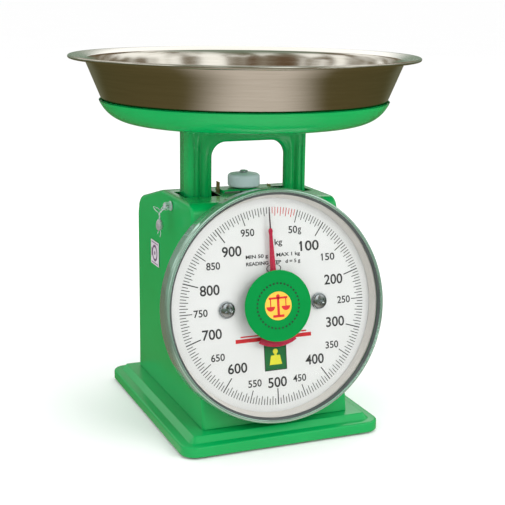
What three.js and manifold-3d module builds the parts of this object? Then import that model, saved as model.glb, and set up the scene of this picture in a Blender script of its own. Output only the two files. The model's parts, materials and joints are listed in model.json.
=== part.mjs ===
// Mechanical dial platform scale, 1 kg, with a removable steel pan.
// Units are millimetres. +Z is up, the dial faces -Y, and the pan's axis is the Z axis.
import * as THREE from 'three';
import { mergeVertices } from 'three/addons/utils/BufferGeometryUtils.js';
import Module from 'manifold-3d';

const wasm = await Module();
wasm.setup();

// ---------- driving dimensions ----------
const GAP = 0.3;                    // air left between pieces that touch
const SHEET = 1.2;                  // pressed sheet thickness

const FOOT_PROUD = 1.2;             // rubber feet stand this far below the skirt
const BASE = { width: 119.8, front: -68, rear: 80, corner: 9 };
const BASE_SKIRT = 5.9;
const BASE_LEDGE_INSET = 5.1;
const BASE_RISER_INSET = 8;
const BASE_HEIGHT = 9.2;
const BASE_TOP = FOOT_PROUD + BASE_HEIGHT;

const LEAN = THREE.MathUtils.degToRad(9.2);   // the dial leans back by this much
const DIAL = { y: -46.2, z: 76.1 };           // centre of the printed face
const FACE_RADIUS = 60;             // visible radius of the printed face
const CASE_RADIUS = 64.3;
const BEZEL_RADIUS = 65.8;
const BEZEL_OPENING = 63.2;
const GLASS_BACK = 5.1;             // distances along the dial's normal from its face
const GLASS_FRONT = 6.6;
const BEZEL_FRONT = 8.6;
const SHELL_FACE = -3;              // outer face of the housing's front, behind the dial face
const POINTER_LENGTH = 54.5;
const POINTER_PLANE = 2.7;
const POINTER_REST = THREE.MathUtils.degToRad(1);   // stands a hair before the zero mark
const DIAL_SCREW_REACH = 28;

const SHELL_HALF = 44.3;            // half of the housing's width
const SHELL_TOP = 133.2;
const SHELL_RIDGE = 20;             // the top falls away behind this line
const SHELL_REAR = 68;
const SHELL_REAR_SHOULDER = { y: 58, z: 124.2 };
const SHELL_BOTTOM = BASE_TOP + GAP;

const YOKE_HALF = 36.4;             // outside of the legs
const YOKE_INNER = 22.6;            // inside of the legs
const YOKE_DEPTH = 16.6;
const YOKE_ARCH = 163.6;            // underside of the crossbar
const YOKE_ARCH_CORNER = 8.5;
const YOKE_TOP = 174.2;
const YOKE_FOOT = 26;
const SLOT = { inner: 17, outer: 39.6, front: -10.6, rear: 10.6 };

const PAN_FLOOR = 176.1;            // underside of the pan's floor
const PAN_FLOOR_RADIUS = 64.8;
const PAN_CORNER = 18.2;
const PAN_CORNER_TURN = 1.134;      // radians between the floor and the wall
const PAN_WALL_RISE = 22.6;         // height of the straight wall above the corner
const PAN_CROWN = 0.5;              // the middle of the floor stands this far above its edge
const PAN_WALL_TOP = { r: 90.6, z: 209.2 };
const PAN_RIM = { r: 100, z: 212.2 };
const PAN_SHEET = 0.8;
const CARRIER_TOP = 185.6;

const TRAVEL = 14.3;                // pan travel for one turn of the pointer
const PINION_TEETH = 10;
const PITCH_RADIUS = TRAVEL * Math.cos(LEAN) / (2 * Math.PI);
const SHAFT_RADIUS = 1.2;
const LEVER_LENGTH = 46;
const LEVER_PIVOT_Y = 52;
const LEVER_PIVOTS = { upper: 105, lower: 38 };
const PIN_RADIUS = 1.3;
const SPRING = { x: 12, radius: 3.4, wire: 0.7, top: 99.4, bottom: 32.2, turns: 10 };
const KNOB = { radius: 9.4, bottom: 135.9, top: 143.7 };
const SEAL_BOLT = { y: 0, z: 127.2, hole: 2.7 };    // hole: the wire's distance from the panel
const FOOT = { x: 42, inset: 18, radius: 5.8, tread: 4.6 };
const COVER = { start: 34, screwX: 34, screwLow: 28, screwHigh: 106 };
const DIAL_SCREW = { hole: 1.9, washer: 4.8, head: 3.5, headHeight: 1.2 };
const COVER_SCREW = { hole: 2.2, head: 3.4, headHeight: 1.8, shank: 1.6, length: 6 };
const LABEL_RADIUS = 20;            // disc stuck on the glass
const BOSS = { outer: 4.4, bore: 2.6 };             // pointer's boss
const TAIL = { radius: 23, halfAngle: 0.52, shoulder: 15 };
const SIDE_LABEL = { front: 23.5, rear: 38.5, bottom: 85.3, top: 100, thick: 0.25 };

// ---------- materials ----------
const paint = (color, roughness, metalness = 0) =>
  new THREE.MeshStandardMaterial({ color, roughness, metalness });
const GREEN = paint(0x0c9a4c, 0.3);
const STAINLESS = paint(0xb8b6ae, 0.22, 1);
const CHROME = paint(0xc9cdd0, 0.12, 1);
const ZINC = paint(0xa9b0b6, 0.35, 1);
const BRASS = paint(0xb8923e, 0.35, 1);
const WHITE = paint(0xefefee, 0.45);
const CREAM = paint(0xcfcac2, 0.5);
const RED = paint(0xc4183c, 0.35);
const RUBBER = paint(0x1b1b1c, 0.85);
const LEAD = paint(0x8f8d93, 0.55, 0.8);
const KNOB_GREY = paint(0xa9b4bd, 0.4);
const PAPER = paint(0xe6e2ea, 0.7);
const GLASS = new THREE.MeshStandardMaterial({
  color: 0xf4fafa, roughness: 0.05, metalness: 0, transparent: true, opacity: 0.25,
});

// ---------- shape helpers ----------
const V = (x, y, z) => new THREE.Vector3(x, y, z);

/** Box between two corners. */
function block(x0, x1, y0, y1, z0, z1) {
  const g = new THREE.BoxGeometry(x1 - x0, y1 - y0, z1 - z0);
  return g.translate((x0 + x1) / 2, (y0 + y1) / 2, (z0 + z1) / 2);
}

/** X range between two distances from the middle, on the left (-1) or the right (1). */
const span = (side, a, b) => [side * a, side * b].sort((p, q) => p - q);

/** Body of revolution about Z. The profile is a list of [radius, z]. */
function turned(profile, sides = 48) {
  const points = profile.map(([r, z]) => new THREE.Vector2(r, z));
  return new THREE.LatheGeometry(points, sides).rotateX(Math.PI / 2);
}

/** Ring of revolution: the profile closes on itself. */
function ring(profile, sides = 64) {
  return turned([...profile, profile[0]], sides);
}

/** Cylinder along Z between two heights. */
function rod(radius, z0, z1, sides = 20) {
  return turned([[0, z0], [radius, z0], [radius, z1], [0, z1]], sides);
}

/** Cylinder along X between two ends. */
function crossRod(radius, x0, x1, y, z, sides = 12) {
  return rod(radius, x0, x1, sides).rotateY(Math.PI / 2).translate(0, y, z);
}

/** Plate drawn in the XY plane, thick along Z. */
function plate(shape, z0, z1, curveSegments = 24) {
  const g = new THREE.ExtrudeGeometry(shape, { depth: z1 - z0, bevelEnabled: false, curveSegments });
  return g.translate(0, 0, z0);
}

/** Plate drawn in the YZ plane, thick along X. */
function sidePlate(shape, x0, x1, curveSegments = 6) {
  const turn = new THREE.Matrix4().makeBasis(V(0, 1, 0), V(0, 0, 1), V(1, 0, 0));
  return plate(shape, x0, x1, curveSegments).applyMatrix4(turn);
}

/** Plate drawn in the XZ plane, thick along Y. */
function frontPlate(shape, y0, y1, curveSegments = 6) {
  return plate(shape, -y1, -y0, curveSegments).rotateX(Math.PI / 2);
}

/** Rectangle with rounded corners, as a shape centred on (cx, cy). */
function roundedRect(width, height, radius, cx = 0, cy = 0) {
  const [w, h] = [width / 2, height / 2];
  const s = new THREE.Shape();
  s.moveTo(cx - w + radius, cy - h);
  s.lineTo(cx + w - radius, cy - h);
  s.absarc(cx + w - radius, cy - h + radius, radius, -Math.PI / 2, 0);
  s.absarc(cx + w - radius, cy + h - radius, radius, 0, Math.PI / 2);
  s.absarc(cx - w + radius, cy + h - radius, radius, Math.PI / 2, Math.PI);
  s.absarc(cx - w + radius, cy - h + radius, radius, Math.PI, 1.5 * Math.PI);
  return s;
}

/** Closed outline through [a, b] points, with a fillet of the third value at each corner. */
function filleted(corners) {
  const at = (i) => new THREE.Vector2(...corners[(i + corners.length) % corners.length].slice(0, 2));
  const shape = new THREE.Shape();
  corners.forEach(([, , radius = 0], i) => {
    const here = at(i);
    const back = at(i - 1).sub(here);
    const next = at(i + 1).sub(here);
    const half = Math.abs(back.angleTo(next)) / 2;
    const reach = radius / Math.tan(half);
    const from = here.clone().addScaledVector(back.normalize(), reach);
    const to = here.clone().addScaledVector(next.normalize(), reach);
    if (i === 0) shape.moveTo(from.x, from.y);
    else shape.lineTo(from.x, from.y);
    if (radius > 0) shape.quadraticCurveTo(here.x, here.y, to.x, to.y);
  });
  return shape;
}

/** Manifold solid of a geometry, and back again. */
function solid(geometry) {
  const bare = geometry.clone();
  bare.deleteAttribute('normal');
  bare.deleteAttribute('uv');
  const merged = mergeVertices(bare, 1e-4);
  const index = Array.from(merged.index.array);
  const kept = [];
  for (let i = 0; i < index.length; i += 3) {
    const [a, b, c] = index.slice(i, i + 3);
    if (a !== b && b !== c && c !== a) kept.push(a, b, c);
  }
  const vertProperties = new Float32Array(merged.attributes.position.array);
  return new wasm.Manifold(new wasm.Mesh({ numProp: 3, vertProperties, triVerts: new Uint32Array(kept) }));
}

function fromSolid(manifold) {
  const mesh = manifold.getMesh();
  const g = new THREE.BufferGeometry();
  g.setAttribute('position', new THREE.BufferAttribute(new Float32Array(mesh.vertProperties), 3));
  g.setIndex(new THREE.BufferAttribute(new Uint32Array(mesh.triVerts), 1));
  return g;
}

const join = (...parts) => fromSolid(parts.map(solid).reduce((a, b) => a.add(b)));
const cut = (body, ...tools) => fromSolid(tools.map(solid).reduce((a, b) => a.subtract(b), solid(body)));

// ---------- assembly groups ----------
const scale = new THREE.Group();
const dialGroup = new THREE.Group();      // local X right, local Y up the face, local Z towards the reader
dialGroup.position.set(0, DIAL.y, DIAL.z);
dialGroup.rotation.x = Math.PI / 2 - LEAN;
scale.add(dialGroup);

function add(name, geometry, material, parent = scale) {
  const mesh = new THREE.Mesh(geometry, material);
  mesh.name = name;
  parent.add(mesh);
  return mesh;
}
const onDial = (name, geometry, material) => add(name, geometry, material, dialGroup);
const sideName = (side) => (side < 0 ? 'left' : 'right');

// ---------- base ----------
/** Tray wound from rounded rectangles: down the outside, then up the inside. */
function pressedTray(levels, centreY, sidesPerCorner = 5) {
  const rings = levels.map(([inset, z, thickness]) => {
    const width = BASE.width - 2 * (inset + thickness);
    const depth = BASE.rear - BASE.front - 2 * (inset + thickness);
    const radius = Math.max(BASE.corner - inset - thickness, 0.8);
    const outline = roundedRect(width, depth, radius, 0, centreY).getPoints(sidesPerCorner);
    const points = outline.filter((p, i) => i === 0 || p.distanceTo(outline[i - 1]) > 1e-6);
    if (points[0].distanceTo(points.at(-1)) < 1e-6) points.pop();
    return points.map((p) => [p.x, p.y, z]);
  });
  const count = rings[0].length;
  const vertices = [[0, centreY, levels[0][1]], ...rings.flat(), [0, centreY, levels.at(-1)[1]]];
  const last = vertices.length - 1;
  const index = [];
  for (let i = 0; i < count; i += 1) {
    const j = (i + 1) % count;
    index.push(0, 1 + i, 1 + j);
    for (let k = 0; k < rings.length - 1; k += 1) {
      const [a, b] = [1 + k * count, 1 + (k + 1) * count];
      index.push(a + i, b + i, b + j, a + i, b + j, a + j);
    }
    const end = 1 + (rings.length - 1) * count;
    index.push(last, end + j, end + i);
  }
  const g = new THREE.BufferGeometry();
  g.setAttribute('position', new THREE.Float32BufferAttribute(vertices.flat(), 3));
  g.setIndex(index);
  return g;
}

const baseCentreY = (BASE.front + BASE.rear) / 2;
const ledge = FOOT_PROUD + BASE_SKIRT;
add('base_plate', pressedTray([
  [BASE_RISER_INSET, BASE_TOP, 0],
  [BASE_LEDGE_INSET, ledge, 0],
  [0.8, ledge, 0],
  [0, ledge - 0.8, 0],
  [0, FOOT_PROUD, 0],
  [0, FOOT_PROUD, SHEET],
  [0, ledge - SHEET, SHEET],
  [BASE_LEDGE_INSET, ledge - SHEET, SHEET],
  [BASE_RISER_INSET, BASE_TOP - SHEET, SHEET],
], baseCentreY), GREEN);

const FOOT_Y = { front: BASE.front + FOOT.inset, rear: BASE.rear - FOOT.inset };
for (const end of ['front', 'rear']) {
  for (const side of [-1, 1]) {
    const footTop = BASE_TOP - SHEET - GAP;
    const foot = turned([
      [0, 0], [FOOT.tread, 0], [FOOT.radius - 0.4, 0.8], [FOOT.radius, 3.4],
      [FOOT.radius, footTop], [0, footTop],
    ], 24);
    add(`rubber_foot_${end}_${sideName(side)}`, foot.translate(side * FOOT.x, FOOT_Y[end], 0), RUBBER);
  }
}

// ---------- housing ----------
/** Y of the housing's leaning front face at a height. */
const frontY = (z) => DIAL.y + (z - DIAL.z) * Math.tan(LEAN) - SHELL_FACE / Math.cos(LEAN);

/** Side view of the housing, moved inwards by an inset. */
function shellOutline(inset, bottom) {
  const front = inset / Math.cos(LEAN);
  const top = SHELL_TOP - inset;
  const shoulder = SHELL_REAR_SHOULDER;
  return filleted([
    [frontY(bottom) + front, bottom],
    [SHELL_REAR - inset, bottom],
    [SHELL_REAR - inset, shoulder.z - 3 - inset, 11 - inset],
    [SHELL_RIDGE, top, 18 - inset],
    [frontY(top) + front, top, 9 - inset],
  ]);
}

const BACK_WIDTH = SHELL_HALF - SHEET - GAP;      // half width of the rear cover
const BACK_SPLIT = SHELL_REAR - 5;                // the shell's sides end here
const shellOuter = sidePlate(shellOutline(0, SHELL_BOTTOM), -SHELL_HALF, SHELL_HALF);
const shellInner = sidePlate(shellOutline(SHEET, SHELL_BOTTOM - 4), SHEET - SHELL_HALF, SHELL_HALF - SHEET);
const legSlot = (side) =>
  block(...span(side, SLOT.inner, SLOT.outer), SLOT.front, SLOT.rear, SHELL_TOP - 4, SHELL_TOP + 2);
const frontHole = (u, radius) => rod(radius, SHELL_FACE - 4, SHELL_FACE + 4, 24)
  .translate(u, 0, 0)
  .rotateX(Math.PI / 2 - LEAN)
  .translate(0, DIAL.y, DIAL.z);
const rearOpening = block(
  SHEET - SHELL_HALF, SHELL_HALF - SHEET, COVER.start, SHELL_REAR + 5, SHELL_BOTTOM - 4, SHELL_TOP + 5,
);
const rearTrim = block(-60, 60, BACK_SPLIT + 3.2, SHELL_REAR + 5, SHELL_BOTTOM - 4, SHELL_TOP + 5);
add('housing_shell', cut(
  shellOuter, shellInner, legSlot(-1), legSlot(1), rod(3.2, SHELL_TOP - 4, SHELL_TOP + 2), frontHole(0, 7),
  frontHole(-DIAL_SCREW_REACH, DIAL_SCREW.hole), frontHole(DIAL_SCREW_REACH, DIAL_SCREW.hole),
  rearOpening, rearTrim,
), GREEN);

const coverOuter = sidePlate(shellOutline(0, SHELL_BOTTOM), -BACK_WIDTH, BACK_WIDTH);
const coverInner = sidePlate(shellOutline(SHEET, SHELL_BOTTOM - 4), -BACK_WIDTH - 1, BACK_WIDTH + 1);
const coverKeep = block(-60, 60, -90, COVER.start + GAP, SHELL_BOTTOM - 6, SHELL_TOP + 6);
const COVER_SCREWS = [COVER.screwLow, COVER.screwHigh]
  .flatMap((z) => [[-COVER.screwX, z], [COVER.screwX, z]]);
const coverHoles = COVER_SCREWS.map(([x, z]) =>
  rod(COVER_SCREW.hole, SHELL_REAR - 4, SHELL_REAR + 2, 20).rotateX(-Math.PI / 2).translate(x, 0, z));
add('rear_cover', cut(coverOuter, coverInner, coverKeep, ...coverHoles), GREEN);

/** Pan-head screw along Z: the shank runs down from z = 0 and the slotted head stands up from it. */
function slottedScrew(headRadius, headHeight, shankRadius, shankLength) {
  const body = turned([
    [0, -shankLength], [shankRadius, -shankLength], [shankRadius, 0], [headRadius, 0],
    [headRadius, headHeight * 0.55], [headRadius * 0.8, headHeight], [0, headHeight],
  ], 20);
  const slot = block(-headRadius - 1, headRadius + 1, -0.4, 0.4, headHeight * 0.55, headHeight + 1);
  return cut(body, slot);
}

COVER_SCREWS.forEach(([x, z], i) => {
  const { head, headHeight, shank, length } = COVER_SCREW;
  const screw = slottedScrew(head, headHeight, shank, length).rotateX(-Math.PI / 2);
  add(`cover_screw_${i + 1}`, screw.translate(x, SHELL_REAR + GAP, z), ZINC);
});

// rear: the face that the rear cover's screws are drawn against
const COVER_BRACKET = { front: 52, rear: 65.9, flange: 14, bottom: 20, top: 114 };
for (const side of [-1, 1]) {
  const { front, rear, flange, bottom, top } = COVER_BRACKET;
  const inside = SHELL_HALF - SHEET - GAP;
  const lip = join(
    block(...span(side, inside - SHEET, inside), front, rear, bottom, top),
    block(...span(side, inside - flange, inside), rear - SHEET, rear, bottom, top),
  );
  const bites = COVER_SCREWS.map(([x, z]) => rod(2, 60, 70, 16).rotateX(-Math.PI / 2).translate(x, 0, z));
  add(`cover_bracket_${sideName(side)}`, cut(lip, ...bites), ZINC);
}

// ---------- dial ----------
const dialScrewHole = (side) => rod(DIAL_SCREW.hole, -8, 4, 16).translate(side * DIAL_SCREW_REACH, 0, 0);
onDial('dial_case', cut(turned([
  [0, -2.7], [CASE_RADIUS, -2.7], [CASE_RADIUS, GLASS_BACK - GAP], [CASE_RADIUS - 1.1, GLASS_BACK - GAP],
  [CASE_RADIUS - 1.1, -1.5], [0, -1.5],
], 56), rod(5, -5, 2, 24), dialScrewHole(-1), dialScrewHole(1)), GREEN);

onDial('dial_plate', cut(
  rod(CASE_RADIUS - 1.4, -1.2, 0, 56), rod(3, -3, 3, 24), dialScrewHole(-1), dialScrewHole(1),
), WHITE);

onDial('spacer_ring', ring([
  [FACE_RADIUS, GAP], [CASE_RADIUS - 1.4, GAP], [CASE_RADIUS - 1.4, GLASS_BACK - GAP],
  [FACE_RADIUS + 2.2, GLASS_BACK - GAP],
], 56), CREAM);

onDial('dial_glass', rod(CASE_RADIUS - 0.1, GLASS_BACK, GLASS_FRONT, 56), GLASS);

onDial('bezel_ring', ring([
  [CASE_RADIUS + GAP, -2.6], [BEZEL_RADIUS, -2.6], [BEZEL_RADIUS, 6.4], [BEZEL_RADIUS - 0.5, 7.7],
  [BEZEL_RADIUS - 1.6, BEZEL_FRONT - 0.1], [BEZEL_RADIUS - 2.8, BEZEL_FRONT], [BEZEL_OPENING, 7.8],
  [BEZEL_OPENING, GLASS_FRONT + GAP], [CASE_RADIUS + GAP, GLASS_FRONT + GAP],
], 64), CHROME);

onDial('centre_label', rod(LABEL_RADIUS, GLASS_FRONT + GAP, GLASS_FRONT + GAP + 0.25, 48), GREEN);

for (const side of [-1, 1]) {
  const { hole, washer: rim } = DIAL_SCREW;
  const washer = ring([[hole, GAP], [rim, GAP], [rim, 0.8], [hole, 0.8]], 28);
  onDial(`dial_washer_${sideName(side)}`, washer.translate(side * DIAL_SCREW_REACH, 0, 0), ZINC);
  const screw = slottedScrew(DIAL_SCREW.head, DIAL_SCREW.headHeight, 1.5, 7)
    .translate(side * DIAL_SCREW_REACH, 0, 0.8 + GAP);
  onDial(`dial_screw_${sideName(side)}`, screw, ZINC);
}

// ---------- pointer and movement ----------
/** Pointer outline: a tapering blade, a round boss, and a crescent counterweight as a tail. */
function pointerShape() {
  const s = new THREE.Shape();
  s.moveTo(2.2, 0);
  s.lineTo(1.8, 20);
  s.lineTo(1.1, POINTER_LENGTH - 12);
  s.lineTo(0.35, POINTER_LENGTH - 9);
  s.lineTo(0.2, POINTER_LENGTH);
  s.lineTo(-0.2, POINTER_LENGTH);
  s.lineTo(-0.35, POINTER_LENGTH - 9);
  s.lineTo(-1.1, POINTER_LENGTH - 12);
  s.lineTo(-1.8, 20);
  s.lineTo(-2.2, 0);
  s.lineTo(-2.4, -TAIL.shoulder);
  s.lineTo(-11, -TAIL.shoulder - 0.5);
  s.absarc(0, 0, TAIL.radius, -Math.PI / 2 - TAIL.halfAngle, -Math.PI / 2 + TAIL.halfAngle);
  s.lineTo(11, -TAIL.shoulder - 0.5);
  s.lineTo(2.4, -TAIL.shoulder);
  return s;
}
const pointerTop = POINTER_PLANE + 0.6;
onDial('pointer', cut(
  join(plate(pointerShape(), POINTER_PLANE, pointerTop, 8), rod(BOSS.outer, POINTER_PLANE, pointerTop, 28)),
  rod(BOSS.bore, 0, 6, 20),
), RED).rotation.z = POINTER_REST;

onDial('pointer_hub', ring([
  [SHAFT_RADIUS + 0.2, 1.9], [3.6, 1.9], [3.6, POINTER_PLANE - GAP], [2.3, POINTER_PLANE - GAP],
  [2.3, 4.2], [SHAFT_RADIUS + 0.2, 4.2],
], 24), BRASS);

const REAR_BEARING = -35.8;
onDial('pointer_shaft', rod(SHAFT_RADIUS, REAR_BEARING - 1, 4, 16), ZINC);

/** Involute teeth stood in for by straight-sided ones. */
function gearShape() {
  const s = new THREE.Shape();
  const step = 2 * Math.PI / PINION_TEETH;
  const [root, tip] = [PITCH_RADIUS - 0.55, PITCH_RADIUS + 0.42];
  for (let i = 0; i < PINION_TEETH; i += 1) {
    const a = (i + 0.5) * step;
    [[root, -0.34], [tip, -0.12], [tip, 0.12], [root, 0.34]].forEach(([r, t], k) => {
      const [x, y] = [r * Math.cos(a + t * step), r * Math.sin(a + t * step)];
      if (i === 0 && k === 0) s.moveTo(x, y);
      else s.lineTo(x, y);
    });
  }
  return s;
}
onDial('pinion', cut(plate(gearShape(), -34, -27.8), rod(SHAFT_RADIUS + 0.15, -40, -20, 16)), BRASS);

const RACK_TOOTH_PITCH = 2 * Math.PI * PITCH_RADIUS / PINION_TEETH;
const RACK_TEETH = 14;
/** Rack blade on the pinion's right, with its teeth towards it. */
function rackShape() {
  const s = new THREE.Shape();
  const [tip, root] = [PITCH_RADIUS - 0.3, PITCH_RADIUS + 0.75];
  const start = -3.5 * RACK_TOOTH_PITCH;
  s.moveTo(root, -40);
  s.lineTo(root, start);
  for (let i = 0; i < RACK_TEETH; i += 1) {
    const w = start + (i + 0.5) * RACK_TOOTH_PITCH;
    s.lineTo(root, w - 0.3 * RACK_TOOTH_PITCH);
    s.lineTo(tip, w - 0.1 * RACK_TOOTH_PITCH);
    s.lineTo(tip, w + 0.1 * RACK_TOOTH_PITCH);
    s.lineTo(root, w + 0.3 * RACK_TOOTH_PITCH);
  }
  const top = start + RACK_TEETH * RACK_TOOTH_PITCH + 1.5;
  s.lineTo(root, top);
  s.lineTo(root + 3.4, top);
  s.lineTo(root + 3.4, -40);
  return s;
}
onDial('rack', plate(rackShape(), -31, -28.5), BRASS);

const bearingShape = roundedRect(30, 26, 4);
const bearingHoles = [[-12, -9], [12, -9], [-12, 9], [12, 9]];
for (const [name, back] of [['front', -16.2], ['rear', REAR_BEARING]]) {
  const body = plate(bearingShape, back, back + 1.2, 4);
  const shaftHole = rod(SHAFT_RADIUS + 0.2, back - 1, back + 3, 20);
  const rivets = bearingHoles.map(([u, w]) => rod(1.1, back - 1, back + 3, 12).translate(u, w, 0));
  onDial(`bearing_plate_${name}`, cut(body, shaftHole, ...rivets), BRASS);
}
bearingHoles.forEach(([u, w], i) => {
  const z0 = REAR_BEARING - 0.6;
  const pillar = turned([
    [0, z0], [0.8, z0], [0.8, REAR_BEARING + 1.5], [1.9, REAR_BEARING + 1.5], [1.9, -16.5], [0.8, -16.5],
    [0.8, -14.7], [1.9, -14.7], [1.9, -4.5], [0, -4.5],
  ], 14);
  onDial(`movement_pillar_${i + 1}`, pillar.translate(u, w, 0), ZINC);
});

// ---------- yoke, carrier and pan ----------
const yokeFront = -YOKE_DEPTH / 2;
const yokeBack = YOKE_DEPTH / 2;
/** Inverted U of the yoke's front web, with a rounded arch. */
function archShape() {
  const s = new THREE.Shape();
  const arch = YOKE_ARCH_CORNER;
  s.moveTo(-YOKE_HALF, YOKE_FOOT);
  s.lineTo(-YOKE_INNER, YOKE_FOOT);
  s.lineTo(-YOKE_INNER, YOKE_ARCH - arch);
  s.absarc(-YOKE_INNER + arch, YOKE_ARCH - arch, arch, Math.PI, Math.PI / 2, true);
  s.absarc(YOKE_INNER - arch, YOKE_ARCH - arch, arch, Math.PI / 2, 0, true);
  s.lineTo(YOKE_INNER, YOKE_FOOT);
  s.lineTo(YOKE_HALF, YOKE_FOOT);
  s.lineTo(YOKE_HALF, YOKE_TOP);
  s.lineTo(-YOKE_HALF, YOKE_TOP);
  return s;
}
add('yoke', join(
  frontPlate(archShape(), yokeFront, yokeFront + SHEET),
  block(-YOKE_HALF, YOKE_HALF, yokeFront, yokeBack, YOKE_TOP - SHEET, YOKE_TOP),
  block(-YOKE_HALF, -YOKE_HALF + SHEET, yokeFront, yokeBack, YOKE_FOOT, YOKE_TOP),
  block(YOKE_HALF - SHEET, YOKE_HALF, yokeFront, yokeBack, YOKE_FOOT, YOKE_TOP),
  block(-YOKE_INNER - SHEET, -YOKE_INNER, yokeFront, yokeFront + 3.4, YOKE_FOOT, YOKE_ARCH - YOKE_ARCH_CORNER),
  block(YOKE_INNER, YOKE_INNER + SHEET, yokeFront, yokeFront + 3.4, YOKE_FOOT, YOKE_ARCH - YOKE_ARCH_CORNER),
), GREEN);

const CROSSBAR_HALF = 4.5;            // half of its depth along Y
const crossbarWidth = YOKE_HALF - SHEET - GAP;
const springHole = (side, z0, z1) => rod(1.5, z0, z1, 16).translate(side * SPRING.x, 0, 0);
add('lower_crossbar', cut(
  join(
    block(-crossbarWidth, crossbarWidth, -CROSSBAR_HALF, CROSSBAR_HALF, 34, 35.4),
    block(-crossbarWidth, crossbarWidth, -CROSSBAR_HALF, SHEET - CROSSBAR_HALF, 27, 35.4),
    block(-crossbarWidth, crossbarWidth, CROSSBAR_HALF - SHEET, CROSSBAR_HALF, 27, 35.4),
  ),
  springHole(-1, 25, 40),
  springHole(1, 25, 40),
), ZINC);

/** Pan section offset outwards by a distance: floor, perhaps crowned, corner arc, then the slanted wall. */
const WALL_ANGLE = Math.atan2(
  PAN_WALL_TOP.r - PAN_FLOOR_RADIUS - PAN_CORNER * Math.sin(PAN_CORNER_TURN), PAN_WALL_RISE,
);
function dishProfile(offset, topZ, crown = 0) {
  const turnAngle = Math.PI / 2 - WALL_ANGLE;
  const centre = { r: PAN_FLOOR_RADIUS, z: PAN_FLOOR + PAN_CORNER };
  const radius = PAN_CORNER + offset;
  const points = [[0, centre.z - radius + crown]];
  const steps = 5;
  for (let i = 0; i <= steps; i += 1) {
    const a = turnAngle * i / steps;
    points.push([centre.r + radius * Math.sin(a), centre.z - radius * Math.cos(a)]);
  }
  const [r, z] = points.at(-1);
  points.push([r + (topZ - z) * Math.tan(WALL_ANGLE), topZ]);
  return points;
}

const carrierOutside = dishProfile(GAP + SHEET, CARRIER_TOP);
const carrierInside = dishProfile(GAP, CARRIER_TOP);
add('pan_carrier', turned([...carrierOutside, ...carrierInside.reverse()], 48), GREEN);

const panOutside = dishProfile(0, PAN_WALL_TOP.z, PAN_CROWN);
const panInside = dishProfile(-PAN_SHEET, PAN_WALL_TOP.z, PAN_CROWN);
add('weighing_pan', turned([
  ...panOutside,
  [PAN_RIM.r - 1.2, PAN_RIM.z - 1.6],
  [PAN_RIM.r - 0.2, PAN_RIM.z - 2.4],
  [PAN_RIM.r, PAN_RIM.z - 1],
  [PAN_RIM.r - 0.6, PAN_RIM.z - 0.1],
  [PAN_RIM.r - 1.4, PAN_RIM.z],
  [PAN_WALL_TOP.r + 0.4, PAN_WALL_TOP.z + PAN_SHEET],
  ...panInside.slice(0, -1).reverse(),
], 56), STAINLESS);

const TOP_NUT = { x: 29.5, height: 3.2 };
for (const side of [-1, 1]) {
  // hex nut of a weld stud, under the yoke's top, that holds the carrier down
  const hex = rod(3.6, YOKE_TOP - SHEET - GAP - TOP_NUT.height, YOKE_TOP - SHEET - GAP, 6);
  add(`carrier_nut_${sideName(side)}`, hex.translate(side * TOP_NUT.x, 1.5, 0), ZINC);
}

// ---------- zero adjuster, hanger and springs ----------
add('spindle_bracket', cut(join(
  block(-15.4, 15.4, -6, 6, 134.6, 135.6),
  block(-15.4, -14.2, -6, 6, SHELL_TOP + GAP, 135.6),
  block(14.2, 15.4, -6, 6, SHELL_TOP + GAP, 135.6),
), rod(2.9, 130, 140, 20)), GREEN);

add('zero_knob', cut(turned([
  [0, KNOB.bottom], [6.2, KNOB.bottom], [6.2, KNOB.bottom + 0.7], [KNOB.radius - 0.5, KNOB.bottom + 0.7],
  [KNOB.radius, KNOB.bottom + 1.3], [KNOB.radius, KNOB.top - 0.9], [KNOB.radius - 0.8, KNOB.top],
  [4, KNOB.top + 0.9], [0, KNOB.top + 0.9],
], 40), rod(2.4, KNOB.bottom - 1, KNOB.top + 3, 20)), KNOB_GREY);

add('knob_screw', slottedScrew(2.1, 1.2, 1.2, 3).translate(0, 0, KNOB.top + 0.9 + GAP), ZINC);
add('zero_spindle', rod(2, 96, KNOB.top - 2.4, 20), ZINC);

const HANGER = { bottom: 100.4, top: 102.4, half: 17 };
add('hanger_bar', cut(
  join(
    block(-HANGER.half, HANGER.half, -3.6, 3.6, HANGER.bottom, HANGER.top),
    rod(4.2, HANGER.bottom, 106, 24),
  ),
  rod(2.3, 90, 120, 20), springHole(-1, 95, 105), springHole(1, 95, 105),
), ZINC);

/** Coil whose ends run in to its own axis, where they pass through the bars. */
class CoilCurve extends THREE.Curve {
  getPoint(t, target = new THREE.Vector3()) {
    const hook = 0.09;
    const along = THREE.MathUtils.clamp((t - hook) / (1 - 2 * hook), 0, 1);
    const end = Math.min(t, 1 - t) / hook;
    const radius = SPRING.radius * THREE.MathUtils.smoothstep(end, 0.35, 1);
    const angle = 2 * Math.PI * SPRING.turns * along;
    const z = SPRING.bottom + (SPRING.top + 3 - SPRING.bottom) * t;
    return target.set(radius * Math.cos(angle), radius * Math.sin(angle), z);
  }
}
const wireSection = new THREE.Shape().absarc(0, 0, SPRING.wire, 0, 2 * Math.PI);
for (const side of [-1, 1]) {
  const coil = new THREE.ExtrudeGeometry(wireSection, {
    steps: 116, curveSegments: 3, bevelEnabled: false, extrudePath: new CoilCurve(),
  });
  add(`spring_${sideName(side)}`, coil.translate(side * SPRING.x, 0, 0), ZINC);
}

// ---------- parallel-motion levers ----------
const swing = Math.asin(TRAVEL / 2 / LEVER_LENGTH);
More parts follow.
